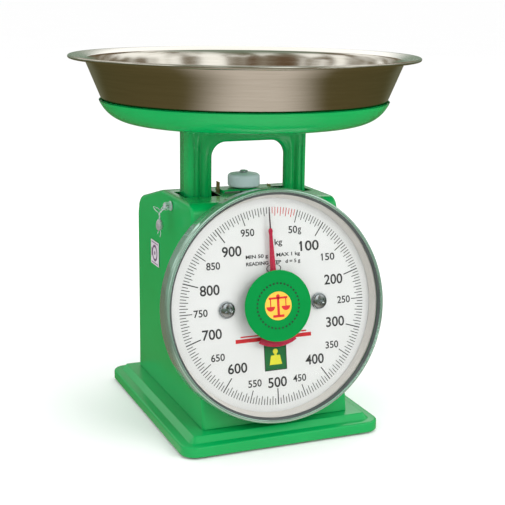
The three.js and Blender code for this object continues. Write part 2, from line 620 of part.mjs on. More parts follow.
/** Two-armed lever in its own frame: rear pivot at the origin, arms towards -Y. */
function leverBody() {
  const arm = (side) => {
    const outline = filleted([
      [4.5, -4, 2], [4.5, 4, 2], [-LEVER_LENGTH - 4.5, 4, 2], [-LEVER_LENGTH - 4.5, -4, 2],
    ]);
    return sidePlate(outline, ...span(side, 18.2, 20), 3);
  };
  const web = block(-20, 20, -20, -8, -0.9, 0.9);
  const rearBore = crossRod(PIN_RADIUS + 0.3, -25, 25, 0, 0);
  const frontBore = crossRod(PIN_RADIUS + 0.8, -25, 25, -LEVER_LENGTH, 0);
  return cut(join(arm(-1), arm(1), web), rearBore, frontBore);
}
const YOKE_PIN_Y = LEVER_PIVOT_Y - LEVER_LENGTH * (1 + Math.cos(swing)) / 2;
for (const [name, pivotZ] of Object.entries(LEVER_PIVOTS)) {
  const lever = add(`guide_lever_${name}`, leverBody(), ZINC);
  lever.position.set(0, LEVER_PIVOT_Y, pivotZ);
  lever.rotation.x = -swing;
  add(`lever_pivot_pin_${name}`, crossRod(PIN_RADIUS, -26.5, 26.5, LEVER_PIVOT_Y, pivotZ), ZINC);
  const pinZ = pivotZ + TRAVEL / 2;
  const reach = YOKE_HALF - SHEET - GAP;
  add(`yoke_pin_${name}`, crossRod(PIN_RADIUS, -reach, reach, YOKE_PIN_Y, pinZ), ZINC);
}

const POST = { half: 25, front: 46, rear: 60.2, sheet: 1.4, top: 118 };
const postWall = (x0, x1, y0, z1) => block(x0, x1, y0, POST.rear, SHELL_BOTTOM, z1);
const post = join(
  postWall(-POST.half, POST.half, POST.rear - POST.sheet, POST.top),
  postWall(-POST.half, POST.sheet - POST.half, POST.front, POST.top),
  postWall(POST.half - POST.sheet, POST.half, POST.front, POST.top),
  postWall(-POST.half, POST.half, POST.front, SHELL_BOTTOM + POST.sheet),
);
const pivotBores = Object.values(LEVER_PIVOTS).map((z) =>
  crossRod(PIN_RADIUS + 0.25, -30, 30, LEVER_PIVOT_Y, z));
add('rear_post', cut(post, ...pivotBores), ZINC);

// ---------- rack arm ----------
const alongDial = (u, w, n) => V(
  u,
  DIAL.y + w * Math.sin(LEAN) - n * Math.cos(LEAN),
  DIAL.z + w * Math.cos(LEAN) + n * Math.sin(LEAN),
);
const rackFoot = alongDial(PITCH_RADIUS + 2.4, -38, -29.7);
add('rack_arm', join(
  block(rackFoot.x - 3, rackFoot.x + 5, rackFoot.y - 4, -CROSSBAR_HALF - GAP, 29.2, 30.6),
  block(rackFoot.x - 3, rackFoot.x + 5, -CROSSBAR_HALF - GAP - SHEET, -CROSSBAR_HALF - GAP, 27.4, 34.6),
), ZINC);

// ---------- verification seal and label ----------
const sealX = -SHELL_HALF - GAP;
const wireX = sealX - SEAL_BOLT.hole;
const outward = (geometry) => geometry.rotateY(-Math.PI / 2).translate(sealX, SEAL_BOLT.y, SEAL_BOLT.z);
add('seal_bolt', cut(
  join(outward(rod(3.4, 0, 0.8, 24)), outward(rod(2.9, 0.7, 4.2, 6))),
  rod(0.9, -5, 5, 12).rotateX(Math.PI / 2).translate(wireX, SEAL_BOLT.y, SEAL_BOLT.z),
), ZINC);

const SEAL_X = sealX - 7;
const sealWirePath = new THREE.CatmullRomCurve3([
  V(wireX - 2.2, 3.9, 125.4), V(wireX, 2.6, 127.2), V(wireX, -2.6, 127.2),
  V(wireX - 2.6, -3.7, 126), V(SEAL_X - 0.3, -1.8, 123.4), V(SEAL_X, -0.3, 121.6), V(SEAL_X, 0, 120.2),
]);
const sealWireSection = new THREE.Shape().absarc(0, 0, 0.4, 0, 2 * Math.PI);
add('seal_wire', new THREE.ExtrudeGeometry(sealWireSection, {
  steps: 26, curveSegments: 3, bevelEnabled: false, extrudePath: sealWirePath,
}), ZINC);
add('lead_seal', turned([
  [0, 113.2], [1.7, 113.4], [2.8, 114.8], [3, 116.6], [2.5, 118.6], [1.5, 119.8], [0, 119.8],
], 18).translate(SEAL_X, 0, 0), LEAD);

const { front, rear, bottom, top, thick } = SIDE_LABEL;
add('side_label', block(sealX - thick, sealX, front, rear, bottom, top), PAPER);

export default scale;
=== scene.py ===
"""Looks of the mechanical dial platform scale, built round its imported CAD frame.

Lengths in this file are millimetres in the CAD frame (+Z up, dial facing -Y) and become metres
when a mesh is made. Dial coordinates are (u right, w up the face, n towards the reader).
"""
import json
import math

import bmesh
import bpy
from mathutils import Matrix, Vector, noise


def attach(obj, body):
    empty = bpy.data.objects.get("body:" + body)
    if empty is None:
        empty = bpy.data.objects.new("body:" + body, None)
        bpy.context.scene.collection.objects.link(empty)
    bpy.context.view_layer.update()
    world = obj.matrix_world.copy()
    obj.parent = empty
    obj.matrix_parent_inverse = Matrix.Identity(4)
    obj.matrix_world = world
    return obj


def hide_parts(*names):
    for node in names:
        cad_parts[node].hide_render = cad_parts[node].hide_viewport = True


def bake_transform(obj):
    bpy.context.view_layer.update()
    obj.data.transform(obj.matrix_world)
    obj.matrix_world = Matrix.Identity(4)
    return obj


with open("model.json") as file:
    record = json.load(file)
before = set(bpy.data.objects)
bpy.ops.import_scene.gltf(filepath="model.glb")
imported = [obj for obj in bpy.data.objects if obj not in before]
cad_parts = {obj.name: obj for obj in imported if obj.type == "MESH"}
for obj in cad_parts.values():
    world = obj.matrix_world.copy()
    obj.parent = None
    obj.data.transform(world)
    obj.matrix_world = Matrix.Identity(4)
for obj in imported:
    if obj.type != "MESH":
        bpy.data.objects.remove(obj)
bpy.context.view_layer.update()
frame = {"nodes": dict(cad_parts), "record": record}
nodes = frame["nodes"]

MM = 0.001
TAU = 2 * math.pi
SCENE = bpy.context.scene

# ---------- sizes shared with the CAD ----------
LEAN = math.radians(9.2)
DIAL_CENTRE = (0.0, -46.2, 76.1)
FACE_RADIUS = 60.0
BASE_WIDTH, BASE_FRONT, BASE_REAR, BASE_CORNER = 119.8, -68.0, 80.0, 9.0
BASE_FOOT, BASE_LEDGE, BASE_TOP = 1.2, 7.1, 10.4
SHELL_HALF, SHELL_BOTTOM, SHELL_TOP = 44.3, 10.7, 133.2
SHELL_RIDGE, SHELL_REAR, COVER_START = 20.0, 68.0, 34.0
YOKE_HALF, YOKE_INNER, YOKE_DEPTH = 36.4, 22.6, 16.6
YOKE_FOOT, YOKE_ARCH, YOKE_TOP, ARCH_RADIUS = 26.0, 163.6, 174.2, 8.5
PAN_FLOOR, PAN_FLAT, PAN_CORNER, PAN_SHEET, PAN_CROWN = 176.1, 64.8, 18.2, 0.8, 0.5
PAN_CORNER_TURN, PAN_WALL_RISE = 1.134, 22.6
PAN_WALL_TOP = (90.6, 209.2)
PAN_RIM = (100.0, 212.2)
CARRIER_TOP, CARRIER_GAP, CARRIER_SHEET = 185.6, 0.3, 1.2
POINTER_PLANE, POINTER_LENGTH, POINTER_REST = 2.7, 54.5, math.radians(1)
DIAL_SCREW_REACH = 28.0
KNOB_BOTTOM, KNOB_TOP, KNOB_RADIUS = 135.9, 143.7, 9.4
SEAL_X, SEAL_BOLT_X, SEAL_BOLT_Z = -51.6, -44.6, 127.2

# Dial frame: columns are u, w, n.
DIAL = Matrix((
    (1, 0, 0, DIAL_CENTRE[0]),
    (0, math.sin(LEAN), -math.cos(LEAN), DIAL_CENTRE[1]),
    (0, math.cos(LEAN), math.sin(LEAN), DIAL_CENTRE[2]),
    (0, 0, 0, 1),
))


# ---------- camera, floor and lights ----------
def make_camera():
    """Camera at the photographed angle."""
    azimuth, drop, roll = math.radians(22.503), math.radians(13.117), math.radians(0.682)
    forward = Vector((
        math.sin(azimuth) * math.cos(drop), math.cos(azimuth) * math.cos(drop), -math.sin(drop)))
    level = Vector((math.cos(azimuth), -math.sin(azimuth), 0))
    above = level.cross(forward)
    right = level * math.cos(roll) + above * math.sin(roll)
    up = above * math.cos(roll) - level * math.sin(roll)
    data = bpy.data.cameras.new("camera")
    data.sensor_width = 36
    data.lens = 80.03
    data.clip_start, data.clip_end = 0.01, 200
    camera = bpy.data.objects.new("camera", data)
    camera.matrix_world = Matrix((
        (right.x, up.x, -forward.x, -0.24283),
        (right.y, up.y, -forward.y, -0.60095),
        (right.z, up.z, -forward.z, 0.24739),
        (0, 0, 0, 1),
    ))
    SCENE.collection.objects.link(camera)
    SCENE.camera = camera


def area_light(name, at, aim, size, power, tint=(1, 1, 1)):
    """Soft box at a point, looking at another point (metres)."""
    data = bpy.data.lights.new(name, "AREA")
    data.shape = "RECTANGLE"
    data.size, data.size_y = size
    data.energy = power
    data.color = tint
    light = bpy.data.objects.new(name, data)
    light.location = at
    light.rotation_mode = "QUATERNION"
    light.rotation_quaternion = (Vector(aim) - Vector(at)).to_track_quat("-Z", "Y")
    light.visible_glossy = False
    SCENE.collection.objects.link(light)


def make_stage():
    """Pale floor, even surroundings and three soft boxes."""
    mesh = bpy.data.meshes.new("floor")
    reach = 60.0
    mesh.from_pydata(
        [(-reach, -reach, 0), (reach, -reach, 0), (reach, reach, 0), (-reach, reach, 0)], [], [(0, 1, 2, 3)])
    floor = bpy.data.objects.new("floor", mesh)
    SCENE.collection.objects.link(floor)
    floor.data.materials.append(make_floor_paper())
    make_world()
    aim = (0, -0.02, 0.1)
    area_light("key_box", (0.75, -1.15, 0.95), aim, (1.0, 1.0), 11)
    area_light("fill_box", (-1.2, -0.6, 0.6), aim, (0.9, 1.0), 3.0)
    area_light("top_box", (0.1, 0.35, 1.3), aim, (1.1, 0.8), 4)
    SCENE.view_settings.view_transform = "Standard"


def add_node(tree, kind, **sockets):
    """Node with its input sockets set by name."""
    node = tree.nodes.new(kind)
    for key, value in sockets.items():
        node.inputs[key.replace("_", " ")].default_value = value
    return node


def rgba_sockets(sockets):
    """The colour sockets of a Mix node, which has one set for each data type."""
    return [socket for socket in sockets if socket.type == "RGBA"]


def ramp_node(tree, stops):
    """Colour ramp through (position, colour) stops."""
    ramp = tree.nodes.new("ShaderNodeValToRGB")
    elements = ramp.color_ramp.elements
    while len(elements) < len(stops):
        elements.new(0.5)
    for element, (position, colour) in zip(elements, stops):
        element.position = position
        element.color = (*colour, 1)
    return ramp


def show_in_mirrors(tree, direct, mirrored, output):
    """Sends one shader to the output, and another one in its place where it is seen in a mirror."""
    rays = tree.nodes.new("ShaderNodeLightPath")
    mix = tree.nodes.new("ShaderNodeMixShader")
    tree.links.new(rays.outputs["Is Glossy Ray"], mix.inputs[0])
    tree.links.new(direct.outputs[0], mix.inputs[1])
    tree.links.new(mirrored.outputs[0], mix.inputs[2])
    tree.links.new(mix.outputs[0], output.inputs["Surface"])


def light_patch(tree, centre, reach, tint, below):
    """Adds a soft oval of light on the floor, centred on (x, y), to a colour; returns the sum."""
    place = tree.nodes.new("ShaderNodeTexCoord")
    offset = add_node(tree, "ShaderNodeMapping", Location=(*centre, 0), Scale=(*reach, 1))
    offset.vector_type = "TEXTURE"
    tree.links.new(place.outputs["Object"], offset.inputs["Vector"])
    distance = tree.nodes.new("ShaderNodeVectorMath")
    distance.operation = "LENGTH"
    tree.links.new(offset.outputs["Vector"], distance.inputs[0])
    fade = add_node(tree, "ShaderNodeMapRange", From_Min=0.3, From_Max=1.3, To_Min=1.0, To_Max=0.0)
    fade.interpolation_type = "SMOOTHSTEP"
    tree.links.new(distance.outputs["Value"], fade.inputs["Value"])
    mix = tree.nodes.new("ShaderNodeMix")
    mix.data_type = "RGBA"
    colour_in = rgba_sockets(mix.inputs)
    tree.links.new(fade.outputs["Result"], mix.inputs["Factor"])
    tree.links.new(below, colour_in[0])
    colour_in[1].default_value = (*tint, 1)
    return rgba_sockets(mix.outputs)[0]


def make_floor_paper():
    """White paper. In mirrors it looks like pools of light on the floor of a dark room."""
    material = finish("floor_paper", (0.968, 0.968, 0.968), (0.958, 0.958, 0.958), 3, rough=(0.75, 0.85),
                      Specular_IOR_Level=0.0)
    tree = material.node_tree
    place = tree.nodes.new("ShaderNodeTexCoord")
    distance = tree.nodes.new("ShaderNodeVectorMath")
    distance.operation = "LENGTH"
    tree.links.new(place.outputs["Object"], distance.inputs[0])
    dark = ramp_node(tree, (
        (0.0, (0.20, 0.17, 0.09)), (0.3, (0.13, 0.105, 0.042)), (0.6, (0.10, 0.088, 0.035)),
        (0.9, (0.16, 0.16, 0.10))))
    tree.links.new(distance.outputs["Value"], dark.inputs["Fac"])
    colour = light_patch(tree, (-0.035, -0.20), (0.19, 0.20), (0.84, 0.76, 0.68), dark.outputs["Color"])
    colour = light_patch(tree, (0.42, -0.70), (0.09, 0.34), (5.0, 5.2, 5.1), colour)
    glow = tree.nodes.new("ShaderNodeEmission")
    tree.links.new(colour, glow.inputs["Color"])
    show_in_mirrors(tree, tree.nodes["Principled BSDF"], glow, tree.nodes["Material Output"])
    return material


def make_world():
    """Even white surroundings. In mirrors they are walls of brown and white patches under a pale ceiling."""
    world = bpy.data.worlds.new("studio")
    SCENE.world = world
    world.use_nodes = True
    tree = world.node_tree
    even = tree.nodes["Background"]
    even.inputs["Color"].default_value = (1.0, 1.0, 1.0, 1)
    even.inputs["Strength"].default_value = 1.03
    place = tree.nodes.new("ShaderNodeTexCoord")
    split = tree.nodes.new("ShaderNodeSeparateXYZ")
    tree.links.new(place.outputs["Generated"], split.inputs[0])
    tall = add_node(tree, "ShaderNodeMapping", Scale=(1, 1, 0.22))
    tree.links.new(place.outputs["Generated"], tall.inputs["Vector"])
    patches = add_node(tree, "ShaderNodeTexNoise", Scale=4.2, Detail=1.5)
    tree.links.new(tall.outputs["Vector"], patches.inputs["Vector"])
    walls = ramp_node(tree, (
        (0.36, (0.17, 0.10, 0.05)), (0.45, (0.30, 0.25, 0.18)), (0.52, (0.85, 0.84, 0.80)),
        (0.60, (1.6, 1.6, 1.58))))
    tree.links.new(patches.outputs["Fac"], walls.inputs["Fac"])
    height = ramp_node(tree, (
        (0.16, (0.0, 0.0, 0.0)), (0.30, (1.0, 1.0, 1.0)), (0.78, (1.0, 1.0, 1.0)), (0.90, (0.12, 0.12, 0.12))))
    tree.links.new(split.outputs["Z"], height.inputs["Fac"])
    mixed = tree.nodes.new("ShaderNodeMix")
    mixed.data_type = "RGBA"
    low, high = rgba_sockets(mixed.inputs)
    low.default_value = (0.24, 0.32, 0.24, 1)
    tree.links.new(height.outputs["Color"], mixed.inputs["Factor"])
    tree.links.new(walls.outputs["Color"], high)
    mirrored = tree.nodes.new("ShaderNodeBackground")
    tree.links.new(rgba_sockets(mixed.outputs)[0], mirrored.inputs["Color"])
    show_in_mirrors(tree, even, mirrored, tree.nodes["World Output"])


# ---------- materials ----------
def scaled_coordinates(tree, stretch):
    """Object coordinates times a scale for each axis."""
    place = tree.nodes.new("ShaderNodeTexCoord")
    mapping = add_node(tree, "ShaderNodeMapping", Scale=stretch)
    tree.links.new(place.outputs["Object"], mapping.inputs["Vector"])
    return mapping.outputs["Vector"]


def lathe_coordinates(tree, across, along):
    """Coordinates for marks that run round the Z axis: (radius, angle, height)."""
    place = tree.nodes.new("ShaderNodeTexCoord")
    split = tree.nodes.new("ShaderNodeSeparateXYZ")
    tree.links.new(place.outputs["Object"], split.inputs[0])

    def maths(operation, a, b=None):
        node = tree.nodes.new("ShaderNodeMath")
        node.operation = operation
        for socket, value in zip(node.inputs, (a, b)):
            if value is None:
                continue
            if isinstance(value, (int, float)):
                socket.default_value = value
            else:
                tree.links.new(value, socket)
        return node.outputs[0]

    x, y, z = split.outputs
    radius = maths("SQRT", maths("ADD", maths("MULTIPLY", x, x), maths("MULTIPLY", y, y)))
    angle = maths("ARCTAN2", y, x)
    join = tree.nodes.new("ShaderNodeCombineXYZ")
    tree.links.new(maths("MULTIPLY", radius, across), join.inputs[0])
    tree.links.new(maths("MULTIPLY", angle, along), join.inputs[1])
    tree.links.new(maths("MULTIPLY", z, across), join.inputs[2])
    return join.outputs[0]


def finish(name, base, second, scale, rough=(0.3, 0.4), bumps=(), stretch=(1, 1, 1), lathe=None, **sockets):
    """Principled material whose colour, gloss and relief vary with noise.

    bumps is a list of (noise scale, strength, distance in mm).
    """
    material = bpy.data.materials.new(name)
    material.use_nodes = True
    tree = material.node_tree
    shader = tree.nodes["Principled BSDF"]
    where = lathe_coordinates(tree, *lathe) if lathe else scaled_coordinates(tree, stretch)
    tone = add_node(tree, "ShaderNodeTexNoise", Scale=scale, Detail=4.0, Roughness=0.6)
    tree.links.new(where, tone.inputs["Vector"])
    ramp = ramp_node(tree, ((0.3, second), (0.7, base)))
    tree.links.new(tone.outputs["Fac"], ramp.inputs["Fac"])
    tree.links.new(ramp.outputs["Color"], shader.inputs["Base Color"])
    gloss = add_node(tree, "ShaderNodeMapRange", To_Min=rough[0], To_Max=rough[1])
    tree.links.new(tone.outputs["Fac"], gloss.inputs["Value"])
    tree.links.new(gloss.outputs["Result"], shader.inputs["Roughness"])
    normal = None
    for bump_scale, strength, depth in bumps:
        relief = add_node(tree, "ShaderNodeTexNoise", Scale=bump_scale, Detail=3.0)
        tree.links.new(where, relief.inputs["Vector"])
        bump = add_node(tree, "ShaderNodeBump", Strength=strength, Distance=depth * MM)
        tree.links.new(relief.outputs["Fac"], bump.inputs["Height"])
        if normal:
            tree.links.new(normal, bump.inputs["Normal"])
        normal = bump.outputs["Normal"]
    if normal:
        tree.links.new(normal, shader.inputs["Normal"])
    for key, value in sockets.items():
        shader.inputs[key.replace("_", " ")].default_value = value
    return material


def make_glass():
    """Clear pane: mostly see-through, with a mirror-like sheen that grows at a slant."""
    material = bpy.data.materials.new("clear_glass")
    material.use_nodes = True
    tree = material.node_tree
    tree.nodes.remove(tree.nodes["Principled BSDF"])
    out = tree.nodes["Material Output"]
    clear = add_node(tree, "ShaderNodeBsdfTransparent", Color=(0.985, 0.99, 0.985, 1))
    sheen = add_node(tree, "ShaderNodeBsdfGlossy", Roughness=0.03)
    smear = add_node(tree, "ShaderNodeTexNoise", Scale=35.0, Detail=3.0)
    tree.links.new(scaled_coordinates(tree, (1, 1, 1)), smear.inputs["Vector"])
    haze = add_node(tree, "ShaderNodeMapRange", To_Min=0.02, To_Max=0.09)
    tree.links.new(smear.outputs["Fac"], haze.inputs["Value"])
    tree.links.new(haze.outputs["Result"], sheen.inputs["Roughness"])
    slant = add_node(tree, "ShaderNodeLayerWeight", Blend=0.12)
    mix = tree.nodes.new("ShaderNodeMixShader")
    tree.links.new(slant.outputs["Fresnel"], mix.inputs[0])
    tree.links.new(clear.outputs[0], mix.inputs[1])
    tree.links.new(sheen.outputs[0], mix.inputs[2])
    tree.links.new(mix.outputs[0], out.inputs["Surface"])
    return material


def make_materials():
    """Every finish of the scale. The first group has the record's slot names."""
    look = {
        "green_paint": finish(
            "green_enamel", (0.0005, 0.36, 0.085), (0.0005, 0.32, 0.07), 14, rough=(0.20, 0.30),
            bumps=((420, 0.08, 0.06), (28, 0.12, 0.5)), Coat_Weight=0.15, Coat_Roughness=0.1,
            Specular_IOR_Level=0.4),
        "label_green": finish(
            "label_green_film", (0.0005, 0.235, 0.046), (0.0005, 0.22, 0.042), 60, rough=(0.4, 0.5),
            Specular_IOR_Level=0.06),
        "rubber": finish(
            "black_rubber", (0.016, 0.016, 0.017), (0.03, 0.03, 0.03), 120, rough=(0.75, 0.95),
            bumps=((900, 0.4, 0.1),)),
        "zinc_steel": finish(
            "zinc_plate", (0.66, 0.70, 0.73), (0.50, 0.54, 0.58), 90, rough=(0.2, 0.36),
            bumps=((700, 0.15, 0.03),), Metallic=0.72),
        "spring_steel": finish(
            "spring_wire", (0.52, 0.52, 0.54), (0.3, 0.3, 0.33), 160, rough=(0.25, 0.4), Metallic=0.7),
        "stainless": finish(
            "spun_stainless", (0.60, 0.575, 0.52), (0.54, 0.515, 0.455), 1.0, rough=(0.10, 0.20),
            bumps=((1.0, 0.10, 0.02),), lathe=(900, 3), Metallic=1.0),
        "bright_zinc": finish(
            "bright_zinc", (0.86, 0.92, 0.95), (0.62, 0.68, 0.72), 260, rough=(0.15, 0.3),
            bumps=((900, 0.3, 0.06),), Metallic=0.45),
        # The chrome's base colour is tinted green: a painted reflection of the green housing around the bezel.
        "chrome": finish(
            "chrome_painted_green_reflection", (0.46, 0.66, 0.56), (0.36, 0.54, 0.46), 40, rough=(0.06, 0.14),
            bumps=((60, 0.08, 0.1),), Metallic=0.8),
        "glass": make_glass(),
        "dial_white": finish(
            "printed_white", (0.74, 0.74, 0.74), (0.72, 0.72, 0.715), 45, rough=(0.4, 0.5),
            bumps=((1500, 0.05, 0.02),)),
        "cream_ring": finish(
            "cream_ring", (0.74, 0.71, 0.67), (0.68, 0.65, 0.61), 25, rough=(0.45, 0.6)),
        "pointer_red": finish(
            "pointer_red", (0.52, 0.012, 0.06), (0.42, 0.01, 0.045), 110, rough=(0.2, 0.3), Coat_Weight=0.8),
        "brass": finish(
            "brass", (0.62, 0.43, 0.17), (0.45, 0.3, 0.12), 130, rough=(0.3, 0.45), Metallic=1.0),
        "knob_grey": finish(
            "knob_grey", (0.70, 0.78, 0.84), (0.62, 0.70, 0.77), 70, rough=(0.3, 0.42),
            bumps=((500, 0.1, 0.05),)),
        "lead": finish(
            "lead", (0.64, 0.61, 0.65), (0.42, 0.40, 0.44), 420, rough=(0.35, 0.5),
            bumps=((600, 0.6, 0.25),), Metallic=0.5),
        "label_paper": finish(
            "label_paper", (0.62, 0.57, 0.62), (0.52, 0.47, 0.53), 150, rough=(0.6, 0.75)),
    }
    look["ink_black"] = finish("ink_black", (0.02, 0.02, 0.022), (0.035, 0.035, 0.035), 300, rough=(0.45, 0.6))
    look["ink_red"] = finish("ink_red", (0.62, 0.006, 0.012), (0.52, 0.005, 0.012), 300, rough=(0.4, 0.55))
    look["ink_yellow"] = finish("ink_yellow", (0.85, 0.52, 0.06), (0.82, 0.44, 0.03), 60, rough=(0.35, 0.45))
    look["ink_lime"] = finish("ink_lime", (0.72, 0.72, 0.03), (0.66, 0.6, 0.02), 60, rough=(0.35, 0.45))
    look["ink_dark_green"] = finish(
        "ink_dark_green", (0.003, 0.14, 0.03), (0.003, 0.12, 0.03), 80, rough=(0.35, 0.45))
    look["ink_violet"] = finish("ink_violet", (0.16, 0.07, 0.16), (0.1, 0.05, 0.12), 200, rough=(0.5, 0.6))
    look["ink_deep_green"] = finish(
        "ink_deep_green", (0.001, 0.05, 0.014), (0.001, 0.04, 0.012), 80, rough=(0.45, 0.55))
    look["screw_steel"] = finish(
        "screw_steel", (0.46, 0.49, 0.52), (0.34, 0.37, 0.40), 120, rough=(0.12, 0.22),
        bumps=((500, 0.15, 0.04),), Metallic=1.0)
    # Near-black for the ring of painted shade inside the bezel.
    look["painted_shade_dark"] = finish("painted_shade_grey", (0.05, 0.06, 0.06), (0.08, 0.09, 0.09), 80, rough=(0.35, 0.55))
    look["pointer_dark"] = finish(
        "pointer_dark", (0.07, 0.02, 0.035), (0.04, 0.015, 0.02), 90, rough=(0.3, 0.4))
    return look


# ---------- mesh helpers ----------
def smooth_piece(mesh, sharp):
    """Smooth shading, with creases where faces meet at more than the given angle."""
    for polygon in mesh.polygons:
        polygon.use_smooth = True
    mesh.set_sharp_from_angle(angle=math.radians(sharp))


def shape_mesh(name, verts, faces):
    """Mesh in metres from vertices in mm, its faces turned outwards."""
    mesh = bpy.data.meshes.new(name)
    mesh.from_pydata([Vector(v) * MM for v in verts], [], faces)
    bm = bmesh.new()
    bm.from_mesh(mesh)
    bmesh.ops.remove_doubles(bm, verts=bm.verts, dist=1e-7)
    bmesh.ops.recalc_face_normals(bm, faces=bm.faces)
    bm.to_mesh(mesh)
    bm.free()
    return mesh


def piece(name, shape, material, body, place=None, stands_for=(), sharp=32, modifiers=()):
    """Object from (vertices, faces) in mm, riding on a CAD body unless body is None."""
    mesh = shape_mesh(name, *moved(shape, place or Matrix.Identity(4)))
    smooth_piece(mesh, sharp)
    mesh.materials.append(look[material])
    made = bpy.data.objects.new(name, mesh)
    SCENE.collection.objects.link(made)
    for kind, settings in modifiers:
        modifier = made.modifiers.new(kind.lower(), kind)
        for key, value in settings.items():
            setattr(modifier, key, value)
    if body:
        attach(made, body)
    if stands_for:
        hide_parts(*stands_for)
    return made


def merged(*shapes):
    """One (vertices, faces) pair from several."""
    verts, faces = [], []
    for more_verts, more_faces in shapes:
        start = len(verts)
        verts.extend(more_verts)
        faces.extend([tuple(i + start for i in face) for face in more_faces])
    return verts, faces


def moved(shape, matrix):
    verts, faces = shape
    return [tuple(matrix @ Vector(v)) for v in verts], faces


def rounded(corners, steps=5, closed=False):
    """Path through (a, b, radius) corners, with an arc at each corner that has a radius."""
    count = len(corners)
    path = []
    for i, (a, b, *rest) in enumerate(corners):
        radius = rest[0] if rest else 0
        here = Vector((a, b))
        if radius <= 0 or (not closed and i in (0, count - 1)):
            path.append((a, b))
            continue
        back = Vector(corners[i - 1][:2]) - here
        ahead = Vector(corners[(i + 1) % count][:2]) - here
        half = back.angle(ahead) / 2
        reach = min(radius / math.tan(half), back.length * 0.5, ahead.length * 0.5)
        start, end = here + back.normalized() * reach, here + ahead.normalized() * reach
        for k in range(steps + 1):
            t = k / steps
            point = start * (1 - t) ** 2 + here * (2 * t * (1 - t)) + end * t ** 2
            path.append(tuple(point))
    return path


def lathe(profile, sides=128, closed=False):
    """Body of revolution about Z from a list of (radius, z)."""
    verts, rings = [], []
    for radius, z in profile:
        start = len(verts)
        if radius < 1e-5:
            verts.append((0, 0, z))
            rings.append([start] * sides)
            continue
        verts.extend(
            (radius * math.cos(TAU * i / sides), radius * math.sin(TAU * i / sides), z) for i in range(sides))
        rings.append(list(range(start, start + sides)))
    faces = []
    pairs = list(zip(rings, rings[1:]))
    if closed:
        pairs.append((rings[-1], rings[0]))
    for low, high in pairs:
        for i in range(sides):
            j = (i + 1) % sides
            face = [low[i], low[j], high[j], high[i]]
            kept = [v for k, v in enumerate(face) if v != face[k - 1]]
            if len(kept) > 2:
                faces.append(tuple(kept))
    return verts, faces


def grid_faces(rows, columns, wrap=False):
    """Quads of a grid of vertices laid out row by row."""
    last = columns if wrap else columns - 1
    return [
        (r * columns + c, r * columns + (c + 1) % columns,
         (r + 1) * columns + (c + 1) % columns, (r + 1) * columns + c)
        for r in range(rows - 1) for c in range(last)
    ]


def tube(path, radius, sides=8):
    """Round wire along a path, closed at both ends."""
    points = [Vector(p) for p in path]
    verts, normal = [], None
    for i, point in enumerate(points):
        ahead = (points[min(i + 1, len(points) - 1)] - points[max(i - 1, 0)]).normalized()
        if normal is None:
            normal = ahead.orthogonal().normalized()
        normal = (normal - ahead * normal.dot(ahead)).normalized()
        side = ahead.cross(normal)
        for k in range(sides):
            a = TAU * k / sides
            verts.append(tuple(point + (normal * math.cos(a) + side * math.sin(a)) * radius))
    faces = grid_faces(len(points), sides, wrap=True)
    faces.append(tuple(range(sides - 1, -1, -1)))
    faces.append(tuple(range(len(verts) - sides, len(verts))))
    return verts, faces


def box(x0, x1, y0, y1, z0, z1):
    verts = [(x, y, z) for z in (z0, z1) for x, y in ((x0, y0), (x1, y0), (x1, y1), (x0, y1))]
    return verts, [(3, 2, 1, 0), (4, 5, 6, 7), (0, 1, 5, 4), (1, 2, 6, 5), (2, 3, 7, 6), (3, 0, 4, 7)]


# ---------- flat print ----------
def disc(radius, u=0.0, w=0.0, level=0.0, sides=72):
    verts = [
        (u + radius * math.cos(TAU * i / sides), w + radius * math.sin(TAU * i / sides), level)
        for i in range(sides)]
    return verts, [tuple(range(sides))]


def band(inner, outer, start=0.0, sweep=TAU, u=0.0, w=0.0, level=0.0, sides=72, squash=1.0):
    """Flat ring, or a part of one."""
    whole = abs(sweep - TAU) < 1e-6
    count = sides if whole else sides + 1
    verts = []
    for radius in (inner, outer):
        for i in range(count):
            a = start + sweep * i / sides
            verts.append((u + radius * math.cos(a), w + radius * math.sin(a) * squash, level))
    return verts, grid_faces(2, count, wrap=whole)


def strip(x0, x1, y0, y1, level=0.0):
    return [(x0, y0, level), (x1, y0, level), (x1, y1, level), (x0, y1, level)], [(0, 1, 2, 3)]


def polygon(points, level=0.0):
    return [(x, y, level) for x, y in points], [tuple(range(len(points)))]


def lettering(text, width, height, u, w, level=0.0, bold=0.016):
    """Text as flat faces that fill a box of the given size, centred on (u, w)."""
    curve = bpy.data.curves.new("lettering", "FONT")
    curve.body = text
    curve.resolution_u = 5
    curve.offset = bold
    holder = bpy.data.objects.new("lettering", curve)
    SCENE.collection.objects.link(holder)
    graph = bpy.context.evaluated_depsgraph_get()
    mesh = holder.evaluated_get(graph).to_mesh()
    points = [v.co.copy() for v in mesh.vertices]
    faces = [tuple(p.vertices) for p in mesh.polygons]
    holder.evaluated_get(graph).to_mesh_clear()
    bpy.data.objects.remove(holder)
    bpy.data.curves.remove(curve)
    x0, x1 = min(p.x for p in points), max(p.x for p in points)
    y0, y1 = min(p.y for p in points), max(p.y for p in points)
    verts = [(
        u + ((p.x - x0) / (x1 - x0) - 0.5) * width,
        w + ((p.y - y0) / (y1 - y0) - 0.5) * height,
        level) for p in points]
    return verts, faces


